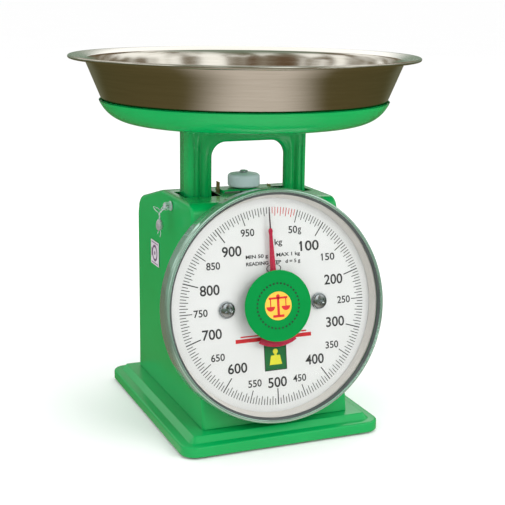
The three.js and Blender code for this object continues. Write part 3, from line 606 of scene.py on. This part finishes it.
# ---------- base and feet ----------
def make_base():
    """Pressed steel tray with a rolled skirt, a ledge and a raised deck."""
    outside = rounded([
        (30, BASE_TOP), (8, BASE_TOP, 0.9), (5.1, BASE_LEDGE, 0.9), (0, BASE_LEDGE, 1.5),
        (0, BASE_FOOT + 0.35), (0.25, BASE_FOOT), (1.0, BASE_FOOT),
    ], 6)
    inside = rounded([
        (1.2, BASE_FOOT + 0.3), (1.2, BASE_LEDGE - 1.2, 0.6), (6.0, BASE_LEDGE - 1.2, 0.6),
        (9.0, BASE_TOP - 1.2, 0.6), (30, BASE_TOP - 1.2),
    ], 3)
    verts = []
    corner_steps = 12
    centre_y = (BASE_FRONT + BASE_REAR) / 2
    half_w, half_d = BASE_WIDTH / 2, (BASE_REAR - BASE_FRONT) / 2
    profile = outside + inside
    for inset, z in profile:
        radius = max(BASE_CORNER - inset, 1.2)
        for quarter, (sx, sy) in enumerate(((1, 1), (-1, 1), (-1, -1), (1, -1))):
            cx, cy = sx * (half_w - inset - radius), sy * (half_d - inset - radius)
            for k in range(corner_steps + 1):
                a = math.pi / 2 * (quarter + k / corner_steps)
                verts.append((cx + radius * math.cos(a), centre_y + cy + radius * math.sin(a), z))
    around = 4 * (corner_steps + 1)
    faces = grid_faces(len(profile), around, wrap=True)
    faces.append(tuple(range(around)))
    faces.append(tuple(range(len(verts) - around, len(verts)))[::-1])
    piece("base_tray", (verts, faces), "green_paint", "housing", stands_for=("base_plate",))


def make_feet():
    profile = rounded([
        (0, 0), (4.6, 0, 0.5), (5.4, 0.8, 0.4), (5.8, 3.4, 0.5), (5.8, 8.9, 0.3), (0, 8.9)], 4)
    for end, y in (("front", BASE_FRONT + 18), ("rear", BASE_REAR - 18)):
        for side, x in (("left", -42), ("right", 42)):
            piece(
                f"foot_{end}_{side}", lathe(profile, 48), "rubber", "housing",
                place=Matrix.Translation((x, y, 0)), stands_for=(f"rubber_foot_{end}_{side}",))


# ---------- housing ----------
def front_y(z):
    """Y of the housing's leaning front at a height."""
    return DIAL_CENTRE[1] + (z - DIAL_CENTRE[2]) * math.tan(LEAN) + 3.0 / math.cos(LEAN)


def shell_side(inset):
    """Side view from the front's foot, over the top, to the back's foot, moved in by an inset."""
    top = SHELL_TOP - inset
    front = inset / math.cos(LEAN)
    return rounded([
        (front_y(SHELL_BOTTOM) + front, SHELL_BOTTOM),
        (front_y(top) + front, top, 9 - inset),
        (-10.6, top), (10.6, top),
        (SHELL_RIDGE, top, 18 - inset),
        (COVER_START, top - (COVER_START - SHELL_RIDGE) / 4),
        (SHELL_REAR - inset, 121.2 - inset, 14),
        (SHELL_REAR - inset, SHELL_BOTTOM),
    ], 10)


def make_housing():
    """Folded body with rounded edges, the leg slots in its top, and its rear cover."""
    fold = 1.9
    steps = 5
    arcs = [(fold * math.sin(math.pi / 2 * k / steps), fold * (1 - math.cos(math.pi / 2 * k / steps)))
            for k in range(steps + 1)]
    columns = []
    for out, inset in reversed(arcs):
        columns.append((-(SHELL_HALF - fold) - out, inset))
    for x in (-39.6, -17.0, 17.0, 39.6):
        columns.append((x, 0))
    for out, inset in arcs:
        columns.append((SHELL_HALF - fold + out, inset))
    outlines = {inset: shell_side(inset) for _, inset in columns}
    rows = len(outlines[0])
    limit = SHELL_REAR - 1.8
    verts = []
    for r in range(rows):
        for x, inset in columns:
            y, z = outlines[inset][r]
            verts.append((x, min(y, limit), z))
    wide = len(columns)
    flat = outlines[0]
    faces = []
    for r in range(rows - 1):
        middle = (flat[r][0] + flat[r + 1][0]) / 2
        height = (flat[r][1] + flat[r + 1][1]) / 2
        for c in range(wide - 1):
            x = (columns[c][0] + columns[c + 1][0]) / 2
            panel = abs(x) < SHELL_HALF - fold
            if panel and (middle > COVER_START or (middle > 0 and height < 120)):
                continue
            if panel and abs(middle) < 10.5 and 17 < abs(x) < 39.6:
                continue
            if not panel and middle >= limit:
                continue
            faces.append((r * wide + c, r * wide + c + 1, (r + 1) * wide + c + 1, (r + 1) * wide + c))
    for c in (0, wide - 1):
        faces.append(tuple(r * wide + c for r in range(rows)))
    piece(
        "housing_body", (verts, faces), "green_paint", "housing",
        stands_for=("housing_shell",), sharp=40,
        modifiers=(
            ("SOLIDIFY", {"thickness": 1.15 * MM, "offset": -1.0}),
            ("WEIGHTED_NORMAL", {"keep_sharp": True}),
        ))

    half = SHELL_HALF - fold - 0.25
    path = [p for p in shell_side(0) if p[0] >= COVER_START - 0.01]
    path[0] = (COVER_START + 0.3, path[0][1])
    cover_columns = [-half, -half + 0.5, half - 0.5, half]
    cover = [(x, y, z) for y, z in path for x in cover_columns]
    piece(
        "housing_back", (cover, grid_faces(len(path), 4)), "green_paint", "housing",
        stands_for=("rear_cover",), sharp=40,
        modifiers=(
            ("SOLIDIFY", {"thickness": 1.15 * MM, "offset": -1.0}),
            ("BEVEL", {"width": 0.25 * MM, "segments": 2}),
            ("WEIGHTED_NORMAL", {"keep_sharp": True}),
        ))


# ---------- screws ----------
def smooth(value, low, high):
    t = min(max((value - low) / (high - low), 0), 1)
    return t * t * (3 - 2 * t)


def boolean_cut(made, cutters, name):
    """Cuts shapes (in mm, frame coordinates) out of a piece and keeps the result."""
    cutter = bpy.data.objects.new(name, shape_mesh(name, *merged(*cutters)))
    SCENE.collection.objects.link(cutter)
    modifier = made.modifiers.new("cut", "BOOLEAN")
    modifier.operation = "DIFFERENCE"
    modifier.solver = "EXACT"
    modifier.object = cutter
    graph = bpy.context.evaluated_depsgraph_get()
    result = bpy.data.meshes.new_from_object(made.evaluated_get(graph))
    made.modifiers.remove(modifier)
    made.data = result
    bpy.data.objects.remove(cutter)
    smooth_piece(made.data, 30)


def cross_screw(name, place, radius, height, body, stands_for):
    """Pan-head screw with a cross recess."""
    dome = [(radius * math.cos(a), height * (0.4 + 0.6 * math.sin(a)))
            for a in (math.pi / 2 * k / 10 for k in range(11))]
    profile = [(0, -5), (1.5, -5), (1.5, 0), (radius * 0.96, 0), (radius, 0.12), *dome[:-1], (0, height)]
    made = piece(name, lathe(profile, 56), "screw_steel", body, place=place,
                 stands_for=stands_for)
    arm, width = radius * 0.55, radius * 0.13
    turn = Matrix.Rotation(math.radians(25), 4, "Z")
    for reach_u, reach_w in ((arm, width), (width, arm)):
        recess = box(-reach_u, reach_u, -reach_w, reach_w, height * 0.35, height + 2)
        boolean_cut(made, [moved(recess, place @ turn)], "recess")


# ---------- dial ----------
def scale_marks():
    """Tick marks every 5 g, one turn to 1000 g, clockwise from the top."""
    black, red = [], []
    for grams in range(0, 1000, 5):
        if grams % 100 == 0:
            inner, width = 46.5, 0.62
        elif grams % 50 == 0:
            inner, width = 48.4, 0.5
        elif grams % 10 == 0:
            inner, width = 50.8, 0.42
        else:
            inner, width = 52.1, 0.42
        turn = Matrix.Rotation(-TAU * grams / 1000, 4, "Z")
        mark = moved(strip(-width / 2, width / 2, inner, 55.7, 0.05), turn)
        (red if 0 < grams < 50 else black).append(mark)
    return black, red


def scale_numbers():
    """Upright numbers, each pushed out until it meets the tick marks, and the lines above the disc."""
    shapes = []
    for grams in range(50, 1000, 50):
        major = grams % 100 == 0
        text = str(grams)
        width = (11.5 if major else 8.1) * (0.67 if grams == 50 else 1)
        height = 5.8 if major else 4.15
        meets = 45.9 if major else 47.6
        a = TAU * grams / 1000
        reach = meets - (width / 2 * abs(math.sin(a)) + height / 2 * abs(math.cos(a)))
        if grams == 50:
            reach = 44.4
        u, w = reach * math.sin(a), reach * math.cos(a)
        shapes.append(lettering(text, width, height, u, w, 0.05))
        if text.startswith("1"):
            left, top = u - width / 2, w + height / 2
            shapes.append(polygon([
                (left + 0.05 * height, top), (left - 0.12 * height, top - 0.22 * height),
                (left - 0.12 * height, top - 0.32 * height),
                (left + 0.05 * height, top - 0.2 * height)], 0.055))
    shapes.append(lettering("g", 2.1, 3.9, 17.8, 41.1, 0.05))
    shapes.append(lettering("1kg", 6.6, 4.4, 3.6, 35.4, 0.05))
    shapes.append(lettering("MIN 50 g  -  MAX 1 kg", 33, 2.7, 1.0, 28.4, 0.05, bold=0.03))
    shapes.append(lettering("READING STEP   d = 5 g", 33, 2.7, 1.0, 24.4, 0.05, bold=0.03))
    shapes.append(band(4.0, 4.5, u=1.0, w=21.3, level=0.05, squash=0.55))
    return shapes


def balance_sign():
    """Plain beam balance: post, beam, hangers and two bowls."""
    level = 0.0
    shapes = [
        strip(-0.75, 0.75, -5.4, 4.6, level),
        strip(-3.4, 3.4, -6.6, -5.2, level),
        strip(-5.6, 5.6, 3.6, 4.8, level),
        disc(1.1, 0, 5.2, level, 24),
    ]
    for side in (-1, 1):
        shapes.append(band(0, 2.6, math.pi, math.pi, side * 4.6, -0.4, level, 20))
        shapes.append(strip(side * 4.6 - 0.3, side * 4.6 + 0.3, -0.6, 3.8, level))
    return shapes


def make_dial():
    """Face print, screws, inner ring, a dark ring of painted shade inside the bezel, bezel, and the disc on the
    glass.
    """
    black, red = scale_marks()
    sheet = DIAL @ Matrix.Translation((0.3, -0.6, 0))
    piece("dial_marks", merged(*black), "ink_black", "housing", place=sheet)
    piece("dial_marks_red", merged(*red), "ink_red", "housing", place=sheet)
    piece("dial_numbers", merged(*scale_numbers()), "ink_black", "housing", place=sheet)
    bars = [strip(-24.0, 22.1, -18.8, -16.6, 0.05), strip(-21.0, 19.1, -15.9, -15.1, 0.05)]
    piece("dial_bars", merged(*bars), "ink_red", "housing", place=sheet)
    piece("dial_badge_edge", strip(-7.3, 6.3, -36.2, -21.2, 0.05), "ink_black", "housing", place=sheet)
    piece("dial_badge", strip(-6.8, 5.8, -35.7, -21.6, 0.08), "ink_dark_green", "housing", place=sheet)
    weight = [
        polygon([(-4.3, -32.9), (3.3, -32.9), (2.2, -27.6), (-3.2, -27.6)], 0.11),
        strip(-1.2, 0.2, -27.6, -26.4, 0.11), disc(1.5, -0.5, -25.4, 0.11, 32)]
    piece("dial_badge_weight", merged(*weight), "ink_lime", "housing", place=sheet)

    for side, name in ((-1, "left"), (1, "right")):
        place = DIAL @ Matrix.Translation((side * DIAL_SCREW_REACH, 0, 0))
        washer = rounded([(1.9, 0.3), (4.8, 0.3, 0.1), (4.8, 0.85, 0.25), (1.9, 0.85)], 4, closed=True)
        piece(f"washer_{name}", lathe(washer, 72, closed=True), "zinc_steel", "housing", place=place,
              stands_for=(f"dial_washer_{name}",))
        cross_screw(f"screw_{name}", place @ Matrix.Translation((0, 0, 1.0)), 4.3, 1.9, "housing",
                    (f"dial_screw_{name}",))

    wall = rounded([
        (FACE_RADIUS, 0.3, 0.3), (62.7, 0.3), (62.7, 4.8), (62.2, 4.8, 0.3)], 4, closed=True)
    piece("inner_ring", lathe(wall, 192, closed=True), "cream_ring", "housing", place=DIAL,
          stands_for=("spacer_ring",))
    # Painted shade: a dark ring that stands in for the dark line of shadow along the bezel's inner edge.
    piece("bezel_painted_shade_ring", lathe(rounded([
        (61.9, 6.65, 0.1), (63.6, 6.65), (63.6, 7.7), (62.9, 7.7, 0.35)], 4, closed=True), 192, closed=True),
        "painted_shade_dark", "housing", place=DIAL)
    rim = rounded([
        (64.6, -2.6), (65.7, -2.6, 0.2), (65.75, 6.0, 1.6), (65.0, 8.5, 1.2), (63.3, 8.45, 0.5),
        (63.25, 6.9), (64.6, 6.9)], 7, closed=True)
    piece("chrome_bezel", lathe(rim, 224, closed=True), "chrome", "housing", place=DIAL,
          stands_for=("bezel_ring",), sharp=50)

    on_glass = DIAL @ Matrix.Translation((0, 0.4, 0))
    edge = rounded([(0, 6.7), (19.9, 6.7, 0.05), (20.0, 7.1, 0.12), (0, 7.1)], 3)
    piece("glass_disc", lathe(edge, 128), "label_green", "housing", place=on_glass,
          stands_for=("centre_label",))
    piece("disc_sun", disc(8.0, 0, 0, 7.13, 72), "ink_yellow", "housing", place=on_glass)
    sign = moved(merged(*balance_sign()), Matrix.Translation((0, 0.2, 7.16)))
    piece("disc_balance", sign, "ink_red", "housing", place=on_glass)
    dots = []
    for k in range(36):
        a = TAU * k / 36
        dots.append(disc(0.62, 12.6 * math.cos(a), 12.6 * math.sin(a), 7.13, 14))
    piece("disc_dots", merged(*dots), "ink_deep_green", "housing", place=on_glass)


def make_pointer():
    """Creased red blade with a dark needle tip, a boss and a crescent counterweight."""
    turn = DIAL @ Matrix.Rotation(POINTER_REST, 4, "Z")
    low, high = POINTER_PLANE, POINTER_PLANE + 0.6

    def blade(stations):
        """Loft of (w, half width, ridge height) stations with a ridge down the middle."""
        verts = []
        for w, half, ridge in stations:
            verts.extend([
                (-half, w, low), (-half, w, low + 0.3), (-half * 0.45, w, low + 0.3 + ridge * 0.75),
                (0, w, low + 0.3 + ridge), (half * 0.45, w, low + 0.3 + ridge * 0.75),
                (half, w, low + 0.3), (half, w, low)])
        faces = grid_faces(len(stations), 7, wrap=True)
        faces.append(tuple(range(7)))
        faces.append(tuple(range(len(verts) - 7, len(verts)))[::-1])
        return verts, faces

    body = blade([
        (-16, 2.4, 0.5), (0, 2.3, 0.7), (20, 1.75, 0.9), (35, 1.15, 0.8), (39.8, 1.0, 0.7), (41.0, 1.15, 0.7),
        (42.0, 1.3, 0.7), (43.0, 1.0, 0.6), (43.4, 0.5, 0.3)])
    boss = lathe(rounded([(2.6, low), (4.4, low, 0.1), (4.4, high, 0.2), (2.6, high)], 3, closed=True), 56,
                 closed=True)
    start, sweep = -math.pi / 2 - 0.52, 1.04
    top = band(15.2, 23, start, sweep, level=high, sides=28)
    bottom = band(15.2, 23, start, sweep, level=low, sides=28)
    count = len(top[0])
    half = count // 2
    edge = [*range(half), *range(count - 1, half - 1, -1)]
    sides = [(a, b, b + count, a + count) for a, b in zip(edge, edge[1:] + edge[:1])]
    tail = (top[0] + bottom[0], top[1] + [tuple(i + count for i in f) for f in bottom[1]] + sides)
    made = piece("pointer_blade", merged(body, boss, tail), "pointer_red", "pointer", place=turn,
                 stands_for=("pointer",), sharp=28)
    made.data.materials.append(look["pointer_dark"])
    piece("pointer_needle", blade([(43.2, 0.42, 0.3), (50, 0.34, 0.25), (POINTER_LENGTH - 0.6, 0.26, 0.2),
                                   (POINTER_LENGTH, 0.12, 0.1)]),
          "pointer_dark", "pointer", place=turn)


# ---------- yoke, carrier and pan ----------
def make_yoke():
    """Pressed inverted U: a fluted front web, a lip round the arch and flanges at the outside."""
    arch = []
    leg = [YOKE_FOOT, 60, 90, 115, 130, 140, 147, 152]
    corner_z = YOKE_ARCH - ARCH_RADIUS
    for z in leg:
        arch.append(((-YOKE_INNER, z), (-YOKE_HALF, z), 1.0))
    corner_x = YOKE_INNER - ARCH_RADIUS
    steps = 16
    for k in range(steps + 1):
        a = math.pi / 2 * k / steps
        inner = (-corner_x - ARCH_RADIUS * math.cos(a), corner_z + ARCH_RADIUS * math.sin(a))
        rise, run = YOKE_TOP - corner_z, YOKE_HALF - corner_x
        bend = 3.0
        outline = rounded([(-YOKE_HALF, corner_z), (-YOKE_HALF, YOKE_TOP, bend), (-corner_x, YOKE_TOP)], 6)
        lengths = [0]
        for p, q in zip(outline, outline[1:]):
            lengths.append(lengths[-1] + math.dist(p, q))
        target = lengths[-1] * k / steps
        i = max(j for j in range(len(lengths) - 1) if lengths[j] <= target + 1e-9)
        t = (target - lengths[i]) / (lengths[i + 1] - lengths[i])
        outer = tuple(outline[i][m] * (1 - t) + outline[i + 1][m] * t for m in (0, 1))
        groove = 1 - smooth(k / steps, 0.0, 0.75)
        arch.append((inner, outer, groove))
    for x in (-9.5, -5, 0):
        arch.append(((x, YOKE_ARCH), (x, YOKE_TOP), 0.0))
    mirrored = [((-i[0], i[1]), (-o[0], o[1]), g) for i, o, g in arch[:-1]]
    arch += mirrored[::-1]

    front, back = -YOKE_DEPTH / 2, YOKE_DEPTH / 2
    lip, inner_fold, outer_fold = 3.4, 1.7, 2.6
    verts = []
    web_steps = 18
    for inner, outer, groove in arch:
        start, end = Vector(inner), Vector(outer)
        width = (end - start).length
        across = (end - start) / width
        section = [(0, front + lip)]
        for k in range(5):
            a = math.pi / 2 * k / 4
            section.append((inner_fold * (1 - math.cos(a)), front + inner_fold * (1 - math.sin(a))))
        for k in range(1, web_steps):
            t = k / web_steps
            position = inner_fold + (width - inner_fold - outer_fold) * t
            valley = math.exp(-((t - 0.52) / 0.15) ** 2)
            crown = 0.9 * (min(t / 0.36, 1, (1 - t) / 0.34) - 1)
            section.append((position, front + groove * (2.3 * valley - crown)))
        for k in range(5):
            a = math.pi / 2 * k / 4
            section.append((width - outer_fold * (1 - math.sin(a)), front + outer_fold * (1 - math.cos(a))))
        section.append((width, 0))
        section.append((width, back))
        for a, y in section:
            point = start + across * a
            verts.append((point.x, y, point.y))
    columns = len(section)
    piece(
        "yoke_frame", (verts, grid_faces(len(arch), columns)), "green_paint", "yoke",
        stands_for=("yoke",), sharp=60,
        modifiers=(("SOLIDIFY", {"thickness": 1.1 * MM, "offset": -1.0}),))


def dish(offset, top_z, crown=0.0, steps=18):
    """Pan section moved outwards by an offset: floor, perhaps crowned, corner arc and slanted wall."""
    wall_angle = math.atan2(PAN_WALL_TOP[0] - PAN_FLAT - PAN_CORNER * math.sin(PAN_CORNER_TURN), PAN_WALL_RISE)
    turn = math.pi / 2 - wall_angle
    radius = PAN_CORNER + offset
    centre_z = PAN_FLOOR + PAN_CORNER
    path = [(r, centre_z - radius + crown * (1 - (r / PAN_FLAT) ** 2)) for r in (0.0, 12, 24, 36, 48, 58)]
    for i in range(steps + 1):
        a = turn * i / steps
        path.append((PAN_FLAT + radius * math.sin(a), centre_z - radius * math.cos(a)))
    r, z = path[-1]
    rows = 6
    for i in range(1, rows + 1):
        height = (top_z - z) * i / rows
        path.append((r + height * math.tan(wall_angle), z + height))
    return path


def make_carrier():
    outside = dish(CARRIER_GAP + CARRIER_SHEET, CARRIER_TOP - 0.3)
    inside = dish(CARRIER_GAP, CARRIER_TOP - 0.3)
    (r0, z0), (r1, z1) = outside[-1], inside[-1]
    lip = [(r0 - 0.15, z0 + 0.22), ((r0 + r1) / 2, z0 + 0.3), (r1 + 0.15, z1 + 0.22)]
    piece("carrier_dish", lathe(outside + lip + inside[::-1], 176), "green_paint", "yoke",
          stands_for=("pan_carrier",))


def make_pan():
    """Spun steel pan with a flared lip that ends in a small bead."""
    outside = dish(0, PAN_WALL_TOP[1] - 1.0, PAN_CROWN)
    inside = dish(-PAN_SHEET, PAN_WALL_TOP[1] - 0.6, PAN_CROWN)
    r_out, r_in = outside[-1][0], inside[-1][0]
    rim_r, rim_z = PAN_RIM
    under = rounded([
        (r_out, PAN_WALL_TOP[1] - 1.0), (r_out + 0.9, PAN_WALL_TOP[1] + 0.4, 0.9),
        (rim_r - 1.9, rim_z - 1.25)], 6)
    bead = [(rim_r - 0.95 + 0.95 * math.cos(a), rim_z - 1.1 + 0.95 * math.sin(a))
            for a in (math.radians(-150 + 250 * k / 14) for k in range(15))]
    over = rounded([
        (rim_r - 2.1, rim_z - 0.35), (r_in + 1.3, PAN_WALL_TOP[1] + 0.8, 1.1),
        (r_in, PAN_WALL_TOP[1] - 0.6)], 6)
    profile = outside[:-1] + under + bead + over + inside[:-1][::-1]
    verts, faces = lathe(profile, 224)
    dented = []
    for x, y, z in verts:
        radius = math.hypot(x, y)
        push = 0.0
        if 70 < radius < 91:
            push = 0.10 * noise.noise(Vector((x, y, z * 1.5)) / 21.0)
        dented.append((x * (1 - push / max(radius, 1)), y * (1 - push / max(radius, 1)), z))
    piece("steel_pan", (dented, faces), "stainless", "pan", stands_for=("weighing_pan",),
          sharp=50)


# ---------- zero knob, springs and seal ----------
def make_knob():
    profile = rounded([
        (2.45, KNOB_BOTTOM, 0.1), (6.2, KNOB_BOTTOM, 0.2), (6.3, KNOB_BOTTOM + 0.7, 0.2),
        (KNOB_RADIUS - 0.4, KNOB_BOTTOM + 0.8, 0.5), (KNOB_RADIUS, KNOB_BOTTOM + 1.6, 0.4),
        (KNOB_RADIUS, KNOB_TOP - 1.0, 0.7), (KNOB_RADIUS - 1.0, KNOB_TOP, 0.6), (3.6, KNOB_TOP + 0.9, 0.3),
        (2.45, KNOB_TOP + 0.9, 0.1),
    ], 5, closed=True)
    piece("knob_cap", lathe(profile, 120, closed=True), "knob_grey", "knob",
          stands_for=("zero_knob",), sharp=40)
    made = piece(
        "knob_cap_screw", lathe(rounded([
            (0, KNOB_TOP - 2), (1.2, KNOB_TOP - 2), (1.2, KNOB_TOP + 1.2), (2.3, KNOB_TOP + 1.2, 0.15),
            (2.35, KNOB_TOP + 2.0, 0.4), (0, KNOB_TOP + 2.4)], 5), 48),
        "zinc_steel", "knob", stands_for=("knob_screw",))
    boolean_cut(made, [box(-3, 3, -0.3, 0.3, KNOB_TOP + 1.75, KNOB_TOP + 4)], "knob_slot")
    for side in (-1, 1):
        x = side * 15.8
        reach = 6.6 if side < 0 else 3.4
        tab = box(min(x, x + side * 0.4), max(x, x + side * 0.4), -2.6, 2.6, SHELL_TOP + 0.1, SHELL_TOP + reach)
        piece(f"stop_tab_{'left' if side < 0 else 'right'}", tab, "brass", "housing",
              modifiers=(("BEVEL", {"width": 0.15 * MM, "segments": 2}),))


def make_springs():
    """Close-wound coils that stretch between the hanger and the lower crossbar."""
    turns, wire, coil, top, bottom = 10, 0.7, 3.4, 102.4, 32.2
    steps = 360
    for side, name in ((-1, "left"), (1, "right")):
        path = []
        for i in range(steps + 1):
            t = i / steps
            hook = min(t, 1 - t) / 0.09
            radius = coil * smooth(hook, 0.35, 1)
            along = min(max((t - 0.09) / 0.82, 0), 1)
            a = TAU * turns * along
            path.append((side * 12 + radius * math.cos(a), radius * math.sin(a), bottom + (top - bottom) * t))
        made = piece(f"coil_{name}", tube(path, wire, 8), "spring_steel", None,
                     stands_for=(f"spring_{name}",))
        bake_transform(made)


def make_seal():
    """Drilled hex bolt, twisted wire and a crimped lead seal."""
    outward = Matrix.Translation((SEAL_BOLT_X, 0, SEAL_BOLT_Z)) @ Matrix.Rotation(-math.pi / 2, 4, "Y")
    outline = [(0, 0), (2.7, 0), (2.8, 0.15), (2.8, 0.7), (2.6, 0.85), (2.3, 0.85)]
    washer = lathe([*outline, (0, 0.85)], 56)
    piece("seal_bolt_washer", washer, "bright_zinc", "housing", place=outward)
    head = lathe([(0, 0.9), (2.4, 0.9), (2.4, 3.8), (2.05, 4.2), (0, 4.2)], 6)
    made = piece("seal_bolt_head", head, "bright_zinc", "housing", place=outward,
                 stands_for=("seal_bolt",), sharp=20)
    wire_x = SEAL_BOLT_X - 2.7
    bore = moved(tube([(0, -5, 0), (0, 5, 0)], 0.95, 20), Matrix.Translation((wire_x, 0, SEAL_BOLT_Z)))
    boolean_cut(made, [bore], "wire_bore")

    def spline(points, samples):
        """Smooth path through points (Catmull-Rom)."""
        pts = [Vector(p) for p in points]
        pts = [pts[0] * 2 - pts[1], *pts, pts[-1] * 2 - pts[-2]]
        path = []
        spans = len(pts) - 3
        for i in range(samples + 1):
            s = min(i / samples * spans, spans - 1e-6)
            k, t = int(s), s - int(s)
            p0, p1, p2, p3 = pts[k:k + 4]
            path.append(0.5 * (
                2 * p1 + (p2 - p0) * t + (2 * p0 - 5 * p1 + 4 * p2 - p3) * t * t
                + (3 * p1 - p0 - 3 * p2 + p3) * t ** 3))
        return path

    run = spline([
        (wire_x - 2.4, 3.4, 124.6), (wire_x - 0.8, 3.6, 126.2), (wire_x, 2.6, 127.2), (wire_x, -2.6, 127.2),
        (wire_x - 2.6, -3.4, 126.4), (SEAL_X - 0.6, -1.8, 123.6), (SEAL_X, -0.3, 121.4), (SEAL_X, 0, 119.4),
    ], 150)
    strands = []
    for phase in (0, math.pi):
        path = []
        for i, point in enumerate(run):
            ahead = (run[min(i + 1, len(run) - 1)] - run[max(i - 1, 0)]).normalized()
            side = ahead.cross(Vector((0.3, 0.5, 0.8))).normalized()
            a = phase + i * 0.32
            path.append(point + (side * math.cos(a) + ahead.cross(side) * math.sin(a)) * 0.24)
        strands.append(tube(path, 0.24, 7))
    loop = spline([
        (wire_x - 2.6, 3.4, 124.4), (wire_x - 5.2, 3.2, 126.2), (wire_x - 7.2, 1.6, 127.0),
        (wire_x - 6.8, -0.4, 125.4), (SEAL_X + 0.4, 0.2, 122.4), (SEAL_X + 0.2, 0.4, 119.4)], 80)
    strands.append(tube(loop, 0.24, 7))
    ends = [
        tube(spline(points, 16), 0.22, 7) for points in (
            [(SEAL_X + 0.4, 0, 114), (SEAL_X + 0.6, -0.2, 111.5), (SEAL_X + 0.2, -0.3, 109.4)],
            [(SEAL_X - 0.4, 0, 114), (SEAL_X - 0.7, 0.1, 112.4), (SEAL_X - 1.2, 0.3, 111.4)])
    ]
    piece("seal_wires", merged(*strands, *ends), "bright_zinc", "seal",
          stands_for=("seal_wire",))
    body = [(0, 113.2), (1.5, 113.3), (2.5, 114.2), (2.95, 115.6), (3.0, 116.8), (2.6, 118.3), (1.7, 119.5),
            (0.6, 119.8), (0, 119.8)]
    verts, faces = lathe(body, 48)
    pressed = []
    for x, y, z in verts:
        x *= 0.68 - 0.05 * math.cos((z - 116.5) * 1.1)
        lump = 1 + 0.05 * noise.noise(Vector((x, y, z)) * 0.9)
        pressed.append((x * lump, y * lump * 0.9, z))
    piece("lead_slug", (pressed, faces), "lead", "seal", place=Matrix.Translation((SEAL_X, 0, 0)),
          stands_for=("lead_seal",), sharp=60,
          modifiers=(("SUBSURF", {"levels": 1, "render_levels": 1}),))


def make_label():
    """Plain inspection sticker on the left side: a violet ring between two bars."""
    place = Matrix.Translation((-44.88, 31.0, 92.65)) @ Matrix((
        (0, 0, -1, 0), (-1, 0, 0, 0), (0, 1, 0, 0), (0, 0, 0, 1)))
    print_shapes = [
        band(3.6, 5.1, sides=48), disc(1.2, 0, 0, 0, 24), strip(-6.4, 6.4, 5.9, 6.5),
        strip(-6.4, 6.4, -6.5, -5.9), strip(-6.2, -4.9, -2.5, 2.5)]
    piece("sticker_print", merged(*print_shapes), "ink_violet", "housing", place=place)


# ---------- assembly ----------
def dress_cad_nodes():
    """Gives every CAD node that stays the finish of its slot."""
    slots = {part["node"]: part["material_slot"] for part in frame["record"]["subparts"]}
    for name, node in nodes.items():
        for holder in node.material_slots:
            holder.link = "OBJECT"
            holder.material = look[slots[name]]


make_camera()
make_stage()
look = make_materials()
dress_cad_nodes()
make_base()
make_feet()
make_housing()
make_dial()
make_pointer()
make_yoke()
make_carrier()
make_pan()
make_knob()
make_springs()
make_seal()
make_label()
